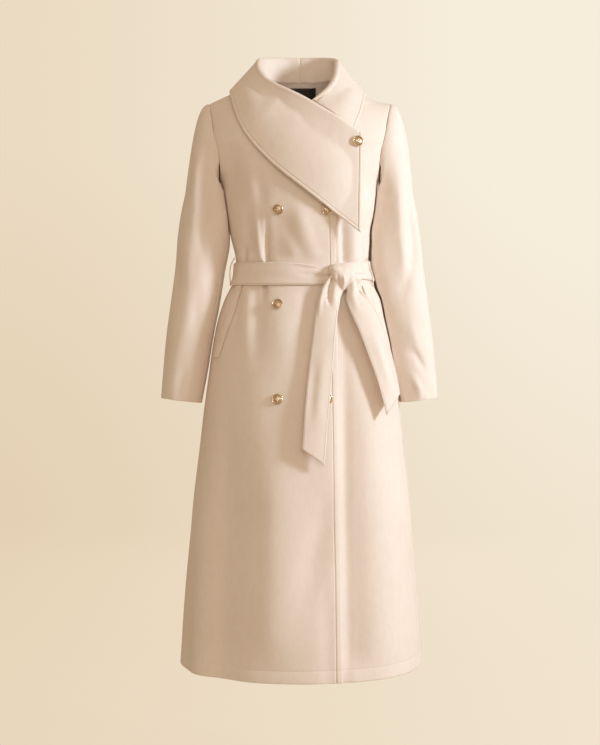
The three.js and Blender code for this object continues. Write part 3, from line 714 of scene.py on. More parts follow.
def panel_form(side, face, u, skirt, steps):
    """A panel's outer side without folds: shares u across it, by skirt heights, then yoke steps."""
    line = top_line(FRONT_NECK if face == "front" else BACK_NECK, side)
    top = along(line, u * (len(line) - 1))
    turn = -1 if face == "front" else 1

    def angle_of(x, z):
        return front_angle(x, z) if face == "front" else side * 180 - front_angle(x, z)

    def edge_angle(z):
        return front_angle(-side * front_edge(z), z) if face == "front" else side * 180 + 0 * z

    def side_angle(z):
        return side * (90 + turn * np.where(z > UNDERARM_Z, follow(ARMHOLE, "z", face, z), 0))

    first, last = (angle_of(line[k, 0], line[k, 1]) for k in (0, -1))
    top_angle = angle_of(top[:, 0], top[:, 1])
    top_share = (top_angle - first) / (last - first)
    miss = top_angle - lerp(edge_angle(top[:, 1]), side_angle(top[:, 1]), top_share)

    z = np.asarray(skirt, float)[:, None] + 0 * u
    low_angle = lerp(edge_angle(z), side_angle(z), u)
    dip = HEM_DIP * np.maximum(np.cos(np.radians(low_angle)), 0) ** 2
    z = z - dip * smooth((HEM_DIP_FROM - z) / (HEM_DIP_FROM - HEM_Z))
    step = np.asarray(steps, float)[:, None]
    high_z = lerp(BUST_Z, top[:, 1], step)
    # Columns lean over to the neck's own spacing, and meet its line only at the very top.
    share = lerp(u, top_share, smooth(step))
    high_angle = lerp(edge_angle(high_z), side_angle(high_z), share) + miss * step**6
    angle = np.concatenate([low_angle, high_angle])
    p = body_point(angle, np.concatenate([z, high_z]))
    return p, angle


def underlap(x):
    """How far the wearer's left front is sunk to lie under the right one."""
    return UNDERLAP_SINK * (1 - smooth((x - FRONT_EDGE_HEM - UNDERLAP_CLEAR) / UNDERLAP_RUN))


# Cloth hangs evenly down to here, and unevenly from this much lower. The belt presses a trough flat
# nearer its own middle than it does a ridge.
CALM_TOP = -20
CALM_RUN = 70
RIDGE_PRESSED = 0.9
TROUGH_PRESSED = 0.6


def fold_cloth(p, angle, folds):
    """The height of the folds, and of cloth's slow unevenness, on points of the body."""
    x, z = p[..., 0], p[..., 2]
    height = fold_height(folds, x, z) + drift(p) * smooth((CALM_TOP - z) / CALM_RUN)
    ridges = under_belt(angle, z, RIDGE_PRESSED)
    troughs = under_belt(angle, z, TROUGH_PRESSED)
    return height * np.where(height > 0, ridges, troughs)


def front_cloth(x, z, off):
    """A point of the folded front cloth, off its surface."""
    x, z = np.asarray(x, float), np.asarray(z, float)
    angle = front_angle(x, z)
    p = body_point(angle, z)
    return p + outward(p) * (off + fold_cloth(p, angle, FRONT_FOLDS))[..., None]


# The length of a yoke over its rounded top, and how its rows crowd together up there.
YOKE_LENGTH = 560
YOKE_CROWD = 1.9


def panel_grid(side, face, u, step, folds):
    """A panel's outer side with its folds: rows from the hem up, columns at shares u across it."""
    hem = stitched_edge(HEM_TURN_UP)
    skirt = HEM_Z + spread(BUST_Z - HEM_Z, step, first=hem)[:-1] * (BUST_Z - HEM_Z)
    reach = np.linspace(0, 1, int(YOKE_LENGTH / step))
    yoke = 1 - (1 - reach) ** YOKE_CROWD
    p, angle = panel_form(side, face, u, skirt, yoke)
    height = fold_cloth(p, angle, folds)
    if face == "front" and side > 0:
        height = height - underlap(p[..., 0])
    return p + outward(p) * height[..., None]


def seam_ring(side, w):
    """The armhole seam. w counts its ring points from the underarm up the front and down the back."""
    ring = np.empty((len(w), 3))
    for k, at in enumerate(np.asarray(w, float) % RING_POINTS):
        face = "front" if at <= RING_POINTS / 2 else "back"
        share = along(RING_SHARES, min(at, RING_POINTS - at))
        ring[k] = panel_form(side, face, np.array([0.0, 1.0]), [], [share])[0][-1, -1]
    return ring


# Folds are at full height this many rows below the armhole. Next to the body most of it is lost.
SETTLE_ROWS = 12
INSIDE_FROM = 110
INSIDE_FADE = 30
INSIDE_LOSS = 0.8


def sleeve_grid(side, shift, w, cap_steps, tube_rows, folds):
    """The sleeve's outer side: rows from the armhole seam to the cuff, columns round it."""
    seam = seam_ring(side, w)
    turn = math.pi - 2 * math.pi * np.asarray(w) / RING_POINTS
    axis = np.array([side * math.sin(SLEEVE_LEAN), 0, -math.cos(SLEEVE_LEAN)])
    across = np.array([side * math.cos(SLEEVE_LEAN), 0, math.sin(SLEEVE_LEAN)])
    columns = {name: along(values, tube_rows)[:, None] for name, values in SLEEVE_SECTIONS.items()}
    centre = np.stack([side * columns["out"], shift - columns["forward"], columns["z"]], axis=-1)
    wrap = columns["right" if side < 0 else "left"] * 2 * np.maximum(-np.cos(turn), 0) * np.abs(np.sin(turn))
    tube = centre + across * (columns["across"] * np.cos(turn) - wrap)[..., None]
    tube[..., 1] -= columns["deep"] * np.sin(turn)
    tube = stand_off(tube, columns["clear"])
    first = tube[0]
    reach = np.linalg.norm(first - seam, axis=-1)[:, None]
    high = (1 + np.cos(turn)) / 2
    # The cap leaves the seam outwards, most of all low down, and rises only near the shoulder point.
    leave = np.stack([side * (0.8 - 0.3 * high), -0.2 * np.sin(turn), high - 0.95], axis=-1)
    cap = []
    for t in cap_steps:
        p = seam * (1 - smooth(t)) + first * smooth(t) + leave * reach * (t * (1 - t) ** 2)
        p = p - axis * reach * (t * t * (1 - t))
        # Only the lower half of the cap is held off the body.
        held = stand_off(p, lerp(1, SLEEVE_SECTIONS["clear"][0], t))
        cap.append(lerp(held, p, smooth((high - 0.5) / 0.2)[:, None]))
    grid = np.concatenate([np.stack(cap), tube])
    middle = grid.mean(axis=1, keepdims=True)
    degrees = np.degrees((turn + math.pi) % (2 * math.pi) - math.pi)
    height = SLEEVE_RELIEF * fold_height(folds, degrees[None] + 0 * grid[..., 2], grid[..., 2])
    height = height + drift(grid)
    out = grid - middle
    out[..., 2] = 0
    out /= np.linalg.norm(out, axis=-1, keepdims=True)
    settle = smooth(np.arange(len(grid)) / SETTLE_ROWS)[:, None]
    inside = 1 - INSIDE_LOSS * smooth((np.abs(degrees) - INSIDE_FROM) / INSIDE_FADE)
    return grid + out * (height * settle * inside)[..., None]


# ---------------------------------------------------------------- collar and lapel


# Samples of the outer edge's path, rows up the stand and rows round the roll.
EDGE_SAMPLES = 600
STAND_ROWS = 12
ROLL_ROWS = 11
# The fall bellies out between roll and edge, and starts no higher off the coat than this.
FALL_BELLY = 5
ROLL_LIFT = 9
# Where the edge lies this close under the roll, the fall turns the way the body faces.
SHORT_FALL = 25


def neck_seam(side, end):
    """Points of the neck seam from the centre back to the front, with the lapel's end if it has one."""
    back = top_line(BACK_NECK, side)[: len(BACK_NECK["x"]) - 1]
    front = top_line(FRONT_NECK, side)[: len(FRONT_NECK["x"])][::-1]
    seam = [on_body(side * 180 - front_angle(x, z), z, 0) for x, z in back]
    seam += [on_body(front_angle(x, z), z, -underlap(x) if side > 0 else 0) for x, z in front]
    if end:
        x, z, lift = end
        seam.append(on_body(front_angle(x, z), z, lift))
    return np.array(seam)


def collar_grid(side, rows, end, step):
    """One half: up the stand, over the roll and down the fall, from the centre back to its front."""
    count = len(rows["rx"])
    fine = np.linspace(0, count - 1, EDGE_SAMPLES)
    length = run_length(points_along(rows, "ex ey ez", fine))
    share = spread(length[-1], step, first=SEAM_EDGE, last=stitched_edge(COLLAR_STITCH))
    r = np.interp(share * length[-1], length, fine)

    roll = points_along(rows, "rx ry rz", r)
    lift = along(rows["lift"], r)
    edge = stand_off(points_along(rows, "ex ey ez", r), lift)
    seat = along(neck_seam(side, end)[:count], r) + np.array([0, 0, COLLAR_SEAT])
    level = np.array([1, 1, 0])
    out = (edge - roll) * level
    short = np.linalg.norm(out, axis=-1) < SHORT_FALL
    out = out + outward(roll) * level * (SHORT_FALL * short)[:, None]
    out /= np.linalg.norm(out, axis=-1, keepdims=True)
    up = np.array([0, 0, 1.0])
    centre = roll - up * ROLL_HALF
    arc = np.linspace(0, math.pi, ROLL_ROWS + 2)[1:-1]
    turned = [centre + ROLL_HALF * (up * math.sin(a) - out * math.cos(a)) for a in arc]
    roll_in = centre - out * ROLL_HALF
    roll_out = centre + out * ROLL_HALF
    stand = [lerp(seat, roll_in, t) for t in np.linspace(0, 1, STAND_ROWS)]

    fall_length = np.linalg.norm(edge - roll_out, axis=-1)
    near = np.array(stitched_edge(COLLAR_STITCH))[::-1]
    far = np.linspace(0, 1, int(fall_length.mean() / step))[None] * (fall_length[:, None] - near[0])
    down = np.concatenate([far, fall_length[:, None] - near[1:]], axis=1) / fall_length[:, None]
    fall = lerp(roll_out[:, None], edge[:, None], down[..., None])
    belly = FALL_BELLY * np.sin(math.pi * np.clip(down, 0, 1)) ** 1.5
    need = lerp(np.minimum(lift, ROLL_LIFT)[:, None], lift[:, None], down) + belly
    return np.concatenate([np.stack(stand + turned, axis=1), stand_off(fall, need)], axis=1)


# ---------------------------------------------------------------- belt

# The belt's upper and lower edge round the waist, above and below its middle.
BELT_SHAPE = table(
    "angle top bottom",
    (-180, 24, -24),
    (-120, 22, -26),
    (-85, 17, -30),
    (-45, 20, -28),
    (-7, 21, -26),
    (8, 15, -26),
    (18.7, 6.5, -24.5),
    (27, 4, -20),
    (34, 10, -16),
    (43, 20, -16),
    (61, 20, -17),
    (85, 22, -22),
    (120, 24, -24),
    (180, 24, -24),
)

# Pleats of the belt where the knot draws it together, by front position.
BELT_FOLDS = table(
    FOLD,
    (-30, -398, 62, -411, 5, 5, -2.6, 0.6, 0),
    (16, -416, 66, -419, 2.5, 3, -5.5, 0.5, 0),
    (-16, -411, 56, -426, 4, 4, -2.6, 0.5, 0.1),
    (8, -406, 66, -413, 3.5, 3.5, 2.8, 0.5, 0),
    (14, -424, 66, -424, 3.5, 3.5, 3.2, 0.5, 0),
    (150, -398, 104, -409, 4, 5, -3.0, 0.6, 0),
    (146, -414, 104, -417, 4, 4, -3.0, 0.6, 0),
    (150, -405, 104, -413, 4, 4, 2.4, 0.5, 0),
    (-120, -400, -60, -404, 8, 8, 1.4, 0.5, 0.5),
    (-100, -420, -20, -416, 9, 9, -1.4, 0.5, 0.5),
)


BELT_COLUMNS = 300
BELT_STEP = 4
# Where rows crowd together, in from an edge. At 5 mm the edge's last row of roundness, 3.2 mm in,
# lies past the groove's first, 2.8 mm in, so the cloth doubles back on itself by 0.4 mm there.
BELT_EDGE = 5
# How much further off the coat the belt stands, and how far it bows out between its edges.
BELT_LIFT = 0.6
BELT_BOW = 0.8


def belt_grid():
    """The middle of the band round the waist: rows up it, columns round it."""
    edge = stitched_edge(BELT_EDGE)
    v = spread(BELT_WIDTH, BELT_STEP, first=edge, last=edge)[:, None]
    angle = np.linspace(-180, 180, BELT_COLUMNS, endpoint=False)[None] + 0 * v
    top = follow(BELT_SHAPE, "angle", "top", angle)
    bottom = follow(BELT_SHAPE, "angle", "bottom", angle)
    z = belt_level(angle) + lerp(bottom, top, v)
    p = body_point(angle, z)
    front = np.cos(np.radians(angle)) > 0
    folds = fold_height(BELT_FOLDS, p[..., 0], z) * front
    bow = BELT_BOW * np.sin(math.pi * v)
    return p + outward(p) * (BELT_OFF + BELT_CLOTH / 2 + BELT_LIFT + folds + bow)[..., None]


# Belt ends below the knot: left and right edge of each section, and how far its middle bows out.
RIGHT_TAIL = table(
    "lx ly lz rx ry rz crown",
    (60, -92, -418, 82, -88, -424, 4),
    (46, -98, -440, 84, -94, -449, 5),
    (37, -121, -463, 81, -119, -469, 5),
    (32, -133, -490, 76, -133, -494, 3.5),
    (26.5, -146, -533, 71, -146, -536, 2.5),
    (17, -159, -609, 64.5, -157, -612, 2),
    (10, -171, -679, 57.5, -167, -684, 2),
    (4, -183, -765, 48.5, -180, -798, 2),
)
LEFT_TAIL = table(
    "lx ly lz rx ry rz crown",
    (88, -86, -424, 104, -80, -412, 4),
    (90, -92, -449, 117, -86, -440, 6),
    (94, -113, -470, 133, -96, -459, 7),
    (102, -122, -494, 148, -99, -480, 6),
    (117, -131, -528, 164, -104, -512, 5),
    (136, -133, -578, 181, -108, -562, 4),
    (155, -133, -631, 194, -104, -612, 3),
    (174, -130, -700, 203, -94, -656, 2),
)
TAIL_GAP = 1.7
TAIL_OFF = BELT_OFF + BELT_CLOTH + TAIL_GAP + BELT_CLOTH / 2

# Folds of the ends: x is across from the left edge and z down from the knot.
RIGHT_TAIL_FOLDS = table(
    FOLD,
    (5, -4, 27, -84, 3, 4, -8.5, 0.03, 0.4),
    (1, 0, 9, -120, 4, 4, 4.5, 0.02, 0.6),
    (15, 0, 40, -90, 5, 6, 4.5, 0.05, 0.5),
    (34, -8, 48, -70, 4, 4, -3.5, 0.05, 0.5),
    (30, -150, 22, -340, 12, 14, 2.6, 0.4, 0.3),
    (12, -180, 16, -330, 9, 9, -2.2, 0.4, 0.3),
)
LEFT_TAIL_FOLDS = table(
    FOLD,
    (7, 0, 16, -100, 5, 5, 5.0, 0.02, 0.6),
    (17, -2, 38, -72, 4, 5, -7.5, 0.02, 0.5),
    (33, 0, 50, -80, 5, 5, 4.0, 0.1, 0.6),
    (24, -110, 22, -280, 10, 12, 2.6, 0.4, 0.3),
    (36, -140, 34, -260, 8, 8, -2.0, 0.4, 0.3),
)
# The ends pass over the belt's edge before they drop to the skirt.
TAIL_LIFT = 7
TAIL_LIFT_RUN = 34
# Samples of an end's path, and the step of its columns over this flat width.
TAIL_SAMPLES = 300
TAIL_WIDTH = 46
TAIL_STEP = 3.5


def tail_grid(rows, folds):
    """The middle of a hanging end: rows from the knot down, columns from its left edge to its right."""
    left_edge, right_edge = "lx ly lz", "rx ry rz"
    fine = np.linspace(0, len(rows["crown"]) - 1, TAIL_SAMPLES)
    path = (points_along(rows, left_edge, fine) + points_along(rows, right_edge, fine)) / 2
    length = run_length(path)
    edge = stitched_edge(BELT_EDGE)
    share = spread(length[-1], BELT_STEP, last=edge)
    r = np.interp(share * length[-1], length, fine)
    left = stand_off(points_along(rows, left_edge, r), TAIL_OFF)
    right = stand_off(points_along(rows, right_edge, r), TAIL_OFF)
    u = spread(TAIL_WIDTH, TAIL_STEP, first=edge, last=edge)[None, :, None]
    p = stand_off(lerp(left[:, None], right[:, None], u), TAIL_OFF)
    crown = along(rows["crown"], r)[:, None] * np.sin(math.pi * u[..., 0])
    width = np.linalg.norm(right - left, axis=-1)[:, None] * u[..., 0]
    down = -(share * length[-1])[:, None] + 0 * u[..., 0]
    height = crown + fold_height(folds, width, down) + TAIL_LIFT * np.exp(-((down / TAIL_LIFT_RUN) ** 2))
    return p + outward(p) * height[..., None]


# The knot's wrap from bottom to top: its left and right edges, and how far it stands off the coat.
WRAP = table(
    "z left right proud",
    (-449, 81, 88, 15),
    (-446, 75, 95, 21),
    (-440, 69, 102, 28),
    (-432, 65, 107, 33),
    (-422, 61, 111, 35),
    (-412, 58, 112, 35),
    (-403, 58, 110, 32),
    (-396, 64, 106, 26),
    (-391, 75, 98, 17),
)
# Creases and ridges of the wrap, by front position.
WRAP_FOLDS = table(
    FOLD,
    (85, -453, 84, -416, 3, 3, 4.5, 0, 0.5),
    (79, -452, 70, -412, 3, 4, -5.0, 0.05, 0.7),
    (91, -452, 98, -414, 4, 3, -5.0, 0.05, 0.7),
    (60, -398, 70, -440, 5, 5, 3.0, 0.2, 0.4),
    (104, -398, 101, -438, 6, 5, 3.0, 0.2, 0.4),
    (76, -392, 84, -420, 5, 6, -1.8, 0.2, 0.6),
    (116, -413, 100, -420, 3, 3, -4.5, 0, 0.7),
    (60, -410, 72, -418, 3, 3, -2.0, 0, 0.8),
)


# Points along and across a lump, how far its back lies beyond the belt, and its least thickness.
LUMP_POINTS = 96
LUMP_GAP = 1.5
LUMP_LEAST = 0.25
# A lump stands off partly the way the body faces and partly straight to the front.
LUMP_OUT = 0.35
LUMP_FRONT = 0.65


def knot_lump(name, rows, folds, material):
    """A closed, stuffed-looking lump of wrapped belt, standing off the coat."""
    v = 0.5 - 0.5 * np.cos(math.pi * np.linspace(0, 1, LUMP_POINTS))
    z = lerp(rows["z"][0], rows["z"][-1], v)
    left, right, proud = (follow(rows, "z", column, z)[:, None] for column in ("left", "right", "proud"))
    s = -np.cos(math.pi * np.linspace(0, 1, LUMP_POINTS))[None]
    x = lerp(left, right, (s + 1) / 2)
    z = z[:, None] + 0 * x
    rise = (2 * v - 1)[:, None]
    dome = np.sqrt(np.clip(1 - np.abs(s) ** 2.3, 0, 1)) * (1 - np.abs(rise) ** 3.2) ** 0.35
    seat = body_point(front_angle(x, z), z)
    out = outward(seat) * LUMP_OUT + np.array([0, -LUMP_FRONT, 0])
    under = BELT_OFF + BELT_CLOTH + LUMP_GAP
    back = seat + out * under
    height = (proud - under) * dome + fold_height(folds, x, z) * smooth(dome / 0.6)
    front = back + out * np.maximum(height, LUMP_LEAST)[..., None]
    points = np.concatenate([front.reshape(-1, 3), back.reshape(-1, 3)])
    return new_object(name, points, wall_faces(*x.shape, False), material)


# A tuck of the belt beside the wrap, where its end is pulled through.
TUCK = table(
    "z left right proud",
    (-441, 92, 108, 9),
    (-436, 90, 116, 14),
    (-428, 88, 122, 17),
    (-418, 86, 126, 18),
    (-408, 86, 128, 17),
    (-399, 88, 127, 14),
    (-392, 92, 120, 9),
)
TUCK_FOLDS = table(
    FOLD,
    (130, -414, 104, -417, 2.5, 3.5, -4.5, 0.2, 0.1),
    (130, -426, 104, -424, 4, 4, 2.5, 0.2, 0.1),
    (118, -440, 104, -424, 4, 4, -2.5, 0.2, 0.1),
)


# ---------------------------------------------------------------- trims

# Belt loops: side, the angle round the waist, and how far the loop stands off the coat. They are
# narrower than their solids, by 0.4 mm on either side.
LOOPS = (("right", -86, 12), ("left", 72, 7))
LOOP_HALF = 1.8
LOOP_OFF = 0.8
LOOP_ROWS = 64
LOOP_COLUMNS = 9
# How far the loop lies above the belt's upper edge, and what share of its stand it stands off.
LOOP_RUN = table(
    "drop share",
    (5, 0.02),
    (3, 0.2),
    (-2, 0.5),
    (-10, 0.82),
    (-24, 1),
    (-38, 0.86),
    (-47, 0.55),
    (-53, 0.22),
    (-55, 0.02),
)


def loop_grid(angle, stand):
    """The middle of a narrow loop that runs down over the belt."""
    fine = np.linspace(0, len(LOOP_RUN["drop"]) - 1, LOOP_ROWS)
    out = LOOP_OFF + along(LOOP_RUN["share"], fine) * stand
    level = belt_level(angle) + BELT_WIDTH / 2 + along(LOOP_RUN["drop"], fine)
    middle = on_body(np.full(LOOP_ROWS, float(angle)), level, out)
    over = np.array([math.cos(math.radians(angle)), math.sin(math.radians(angle)), 0])
    u = np.linspace(-1, 1, LOOP_COLUMNS) * LOOP_HALF
    return middle[:, None] + over * u[None, :, None]


# The stitched edge of a pocket: its upper and lower end, length, width and gap off the coat.
WELT = ((131, -436), (177, -584))
WELT_LENGTH = 155
WELT_WIDTH = 13
WELT_OFF = 0.9
# Distances from its edges that draw them and the stitch line, and the steps between, along and across.
WELT_EDGE = (0, 0.3, 0.7, 1.2, 1.8, 2.3, 2.8, 3.3, 4.0)
WELT_STEP = 3
WELT_STEP_ACROSS = 1.2


def pocket_grid(side):
    """The stitched edge of a slanted pocket, laid on the front."""
    (x0, z0), (x1, z1) = WELT
    t = spread(WELT_LENGTH, WELT_STEP, first=WELT_EDGE, last=WELT_EDGE)[:, None]
    u = spread(WELT_WIDTH, WELT_STEP_ACROSS, first=WELT_EDGE, last=WELT_EDGE)[None]
    z = lerp(z0, z1, t) + 0 * u
    ratio = half_width(np.full_like(z, side), z) / half_width(np.full_like(z, -1.0), z)
    x = side * (lerp(x0, x1, t) - u * WELT_WIDTH) * ratio
    return front_cloth(x, z, WELT_OFF + WELT_CLOTH / 2)


LABEL_HALF = 36
LABEL_TOP = 0
LABEL_LOW = -34
LABEL_OFF = 1.8
LABEL_COLUMNS = 40
LABEL_ROWS = 22


def label_grid():
    """The middle of the blank label, inside the back of the neck."""
    x = np.linspace(-LABEL_HALF, LABEL_HALF, LABEL_COLUMNS)[None]
    z = np.linspace(LABEL_LOW, LABEL_TOP, LABEL_ROWS)[:, None]
    x, z = np.broadcast_arrays(x, z)
    p = body_point(180 - front_angle(x, z), z)
    return p - outward(p) * (COAT_CLOTH + LABEL_OFF)


# A button's section from the middle of its face, over the bead at the rim, to its shank.
BUTTON_PROFILE = table(
    "r h",
    (0.01, 5.5),
    (1.5, 5.45),
    (3, 5.3),
    (4.5, 5.0),
    (6, 4.5),
    (7.2, 3.9),
    (7.9, 3.4),
    (8.3, 3.1),
    (8.6, 3.05),
    (8.9, 3.3),
    (9.2, 3.9),
    (9.6, 4.35),
    (10.0, 4.45),
    (10.4, 4.3),
    (10.75, 3.9),
    (11.0, 3.2),
    (11.0, 2.6),
    (10.8, 2.1),
    (10.2, 1.7),
    (8, 1.5),
    (4, 1.5),
    (3.5, 1.3),
    (3.4, 0.6),
    (3.4, -0.2),
    (0.01, -0.2),
)
BUTTON_SIDES = 56
BUTTON_ROWS = 60
# The relief lies within this many rows of the profile. The groove is what lies inside the bead.
FACE_ROWS = 6
PETAL_REACH = 6.2
PETAL_HEIGHT = 0.55
BOSS_HEIGHT = 0.5
GROOVE_RADIUS = 8.5


def button_mesh(name, seat, normal, material):
    """A domed brass button: a bead round the rim, a groove, and a plain four-petal relief."""
    turn = np.linspace(0, 2 * math.pi, BUTTON_SIDES, endpoint=False)[None]
    rows = np.linspace(0, len(BUTTON_PROFILE["r"]) - 1, BUTTON_ROWS)
    r = along(BUTTON_PROFILE["r"], rows)[:, None] + 0 * turn
    h = along(BUTTON_PROFILE["h"], rows)[:, None] + 0 * turn
    reach = PETAL_REACH * np.abs(np.cos(2 * turn)) ** 0.8 + 0.01
    relief = PETAL_HEIGHT * smooth(np.clip((reach - r) / 1.6, 0, 1)) * smooth((r - 0.7) / 0.9)
    relief += BOSS_HEIGHT * np.exp(-((r / 0.9) ** 2))
    h = h + relief * (rows[:, None] < FACE_ROWS)
    normal = normal / np.linalg.norm(normal)
    over = np.cross([0, 0, 1.0], normal)
    over /= np.linalg.norm(over)
    up = np.cross(normal, over)
    p = seat + (r * np.cos(turn))[..., None] * over + (r * np.sin(turn))[..., None] * up
    p = p + h[..., None] * normal
    faces = round_faces(BUTTON_ROWS, BUTTON_SIDES)
    faces.append(tuple(range(BUTTON_SIDES)))
    faces.append(tuple(range((BUTTON_ROWS - 1) * BUTTON_SIDES, BUTTON_ROWS * BUTTON_SIDES)))
    button = new_object(name, p.reshape(-1, 3), faces, material)
    # How hollow each point is, for the finish's painted shade: the groove, and the field between the petals.
    groove = np.exp(-(((r - GROOVE_RADIUS) / 0.55) ** 2))
    field = smooth((7.6 - r) / 1.5) * (1 - smooth(relief / 0.3)) * 0.55
    hollow = button.data.attributes.new("hollow", "FLOAT", "POINT")
    hollow.data.foreach_set("value", np.clip(groove + field, 0, 1).astype(np.float32).ravel())
    return button


# ---------------------------------------------------------------- nodes and finishes


def add_node(tree, kind, links=None, **settings):
    """Adds a node: settings are its own, and links feed its inputs from outputs or plain values."""
    node = tree.nodes.new(kind)
    for name, value in settings.items():
        setattr(node, name, value)
    for key, value in (links or {}).items():
        if isinstance(value, bpy.types.NodeSocket):
            tree.links.new(value, node.inputs[key])
        else:
            node.inputs[key].default_value = value
    return node


def linear(hex_colour):
    """An sRGB hex colour as linear RGBA."""
    channels = [int(hex_colour[k : k + 2], 16) / 255 for k in (1, 3, 5)]
    return [c / 12.92 if c <= 0.04045 else ((c + 0.055) / 1.055) ** 2.4 for c in channels] + [1]


def new_finish(name):
    finish = bpy.data.materials.new(name)
    finish.use_nodes = True
    finish.node_tree.nodes.clear()
    return finish, finish.node_tree


def per_mm(size):
    """A pattern scale, per metre, from the real size of its repeat in millimetres."""
    return 1000 / size


def milled_wool():
    """Milled wool and cashmere coating: soft, close and matt, with a faint brushed nap.

    The real nap is a fraction of a millimetre, too fine to show, so it is drawn 2.2 mm coarse.
    """
    finish, tree = new_finish("milled wool coating")
    place = add_node(tree, "ShaderNodeTexCoord").outputs["Object"]
    brushed = add_node(tree, "ShaderNodeMapping", {"Vector": place, "Scale": (1, 1, 0.45)}).outputs[0]
    fibre = add_node(
        tree,
        "ShaderNodeTexNoise",
        {"Vector": brushed, "Scale": per_mm(2.2), "Detail": 4.0, "Roughness": 0.62},
    )
    clumps = add_node(
        tree, "ShaderNodeTexNoise", {"Vector": brushed, "Scale": per_mm(11), "Detail": 3.0, "Roughness": 0.55}
    )
    drifts = add_node(tree, "ShaderNodeTexNoise", {"Vector": place, "Scale": per_mm(120), "Detail": 2.0})
    mottle = add_node(
        tree, "ShaderNodeMath", {0: fibre.outputs["Fac"], 1: clumps.outputs["Fac"]}, operation="ADD"
    )
    mottle = add_node(
        tree, "ShaderNodeMath", {0: mottle.outputs[0], 1: drifts.outputs["Fac"]}, operation="ADD"
    )
    share = add_node(
        tree, "ShaderNodeMapRange", {"Value": mottle.outputs[0], "From Min": 0.4, "From Max": 2.3}
    )
    colour = add_node(
        tree,
        "ShaderNodeMix",
        {"Factor": share.outputs[0], 6: linear("#E0D1C3"), 7: linear("#F2E6DC")},
        data_type="RGBA",
    )
    bump = add_node(
        tree, "ShaderNodeBump", {"Height": fibre.outputs["Fac"], "Strength": 0.22, "Distance": 0.0004}
    )
    bump = add_node(
        tree,
        "ShaderNodeBump",
        {"Height": clumps.outputs["Fac"], "Strength": 0.12, "Distance": 0.001, "Normal": bump.outputs[0]},
    )
    shader = add_node(
        tree,
        "ShaderNodeBsdfPrincipled",
        {
            "Base Color": colour.outputs[2],
            "Roughness": 0.9,
            "IOR": 1.5,
            "Specular IOR Level": 0.25,
            "Sheen Weight": 0.18,
            "Sheen Roughness": 0.5,
            "Sheen Tint": linear("#FFF4E6"),
            "Normal": bump.outputs[0],
        },
    )
    add_node(tree, "ShaderNodeOutputMaterial", {"Surface": shader.outputs[0]})
    return finish


def spun_thread():
    """Spun polyester sewing thread, dyed to the cloth: a little tighter and brighter than the wool.

    Its plies are drawn 0.8 mm long, coarser than they are, so that they show.
    """
    finish, tree = new_finish("sewing thread")
    place = add_node(tree, "ShaderNodeTexCoord").outputs["Object"]
    ply = add_node(tree, "ShaderNodeTexNoise", {"Vector": place, "Scale": per_mm(0.8), "Detail": 2.0})
    colour = add_node(
        tree,
        "ShaderNodeMix",
        {"Factor": ply.outputs["Fac"], 6: linear("#D9C2A6"), 7: linear("#EEDDC6")},
        data_type="RGBA",
    )
    shader = add_node(
        tree,
        "ShaderNodeBsdfPrincipled",
        {"Base Color": colour.outputs[2], "Roughness": 0.6, "IOR": 1.5, "Sheen Weight": 0.1},
    )
    add_node(tree, "ShaderNodeOutputMaterial", {"Surface": shader.outputs[0]})
    return finish


def label_satin():
    """Black woven polyester satin: crosswise ribs with a soft gloss.

    The real ribs are too fine to show, so they are drawn as slow waves, 7.5 mm apart. A wave at scale
    1 turns through 20 radians a metre, so a turn of one radian every 1.2 mm gives that repeat.
    """
    finish, tree = new_finish("label satin")
    place = add_node(tree, "ShaderNodeTexCoord").outputs["Object"]
    ribs = add_node(
        tree,
        "ShaderNodeTexWave",
        {"Vector": place, "Scale": per_mm(1.2) / 20, "Distortion": 0.4},
        wave_type="BANDS",
        bands_direction="Z",
    )
    grain = add_node(tree, "ShaderNodeTexNoise", {"Vector": place, "Scale": per_mm(1.5), "Detail": 3.0})
    colour = add_node(
        tree,
        "ShaderNodeMix",
        {"Factor": grain.outputs["Fac"], 6: linear("#0E0A08"), 7: linear("#221A15")},
        data_type="RGBA",
    )
    bump = add_node(
        tree, "ShaderNodeBump", {"Height": ribs.outputs["Fac"], "Strength": 0.3, "Distance": 0.0002}
    )
    shader = add_node(
        tree,
        "ShaderNodeBsdfPrincipled",
        {
            "Base Color": colour.outputs[2],
            "Roughness": 0.42,
            "IOR": 1.5,
            "Sheen Weight": 0.2,
            "Normal": bump.outputs[0],
        },
    )
    add_node(tree, "ShaderNodeOutputMaterial", {"Surface": shader.outputs[0]})
    return finish


def polished_brass():
    """Cast and polished brass: warm, bright on the beads, darker and rougher in the hollows, where the
    darkening is painted shade, with a faint random wear.
    """
    finish, tree = new_finish("polished brass")
    place = add_node(tree, "ShaderNodeTexCoord").outputs["Object"]
    skin = add_node(tree, "ShaderNodeTexNoise", {"Vector": place, "Scale": per_mm(3), "Detail": 3.0})
    # Painted shade: the hollows, and a little random wear, turn the brass darker and rougher.
    hollow = add_node(tree, "ShaderNodeAttribute", attribute_name="hollow", attribute_type="GEOMETRY")
    wear = add_node(tree, "ShaderNodeMath", {0: skin.outputs["Fac"], 1: 0.25}, operation="MULTIPLY")
    hollow_shade_and_wear = add_node(
        tree,
        "ShaderNodeMath",
        {0: hollow.outputs["Fac"], 1: wear.outputs[0]},
        operation="ADD",
        use_clamp=True,
    )
    colour = add_node(
        tree,
        "ShaderNodeMix",
        {"Factor": hollow_shade_and_wear.outputs[0], 6: linear("#FBEBD0"), 7: linear("#A98661")},
        data_type="RGBA",
    )
    rough = add_node(
        tree,
        "ShaderNodeMapRange",
        {"Value": hollow_shade_and_wear.outputs[0], "To Min": 0.16, "To Max": 0.42},
    )
    shader = add_node(
        tree,
        "ShaderNodeBsdfPrincipled",
        {"Base Color": colour.outputs[2], "Metallic": 1.0, "Roughness": rough.outputs[0]},
    )
    add_node(tree, "ShaderNodeOutputMaterial", {"Surface": shader.outputs[0]})
    return finish


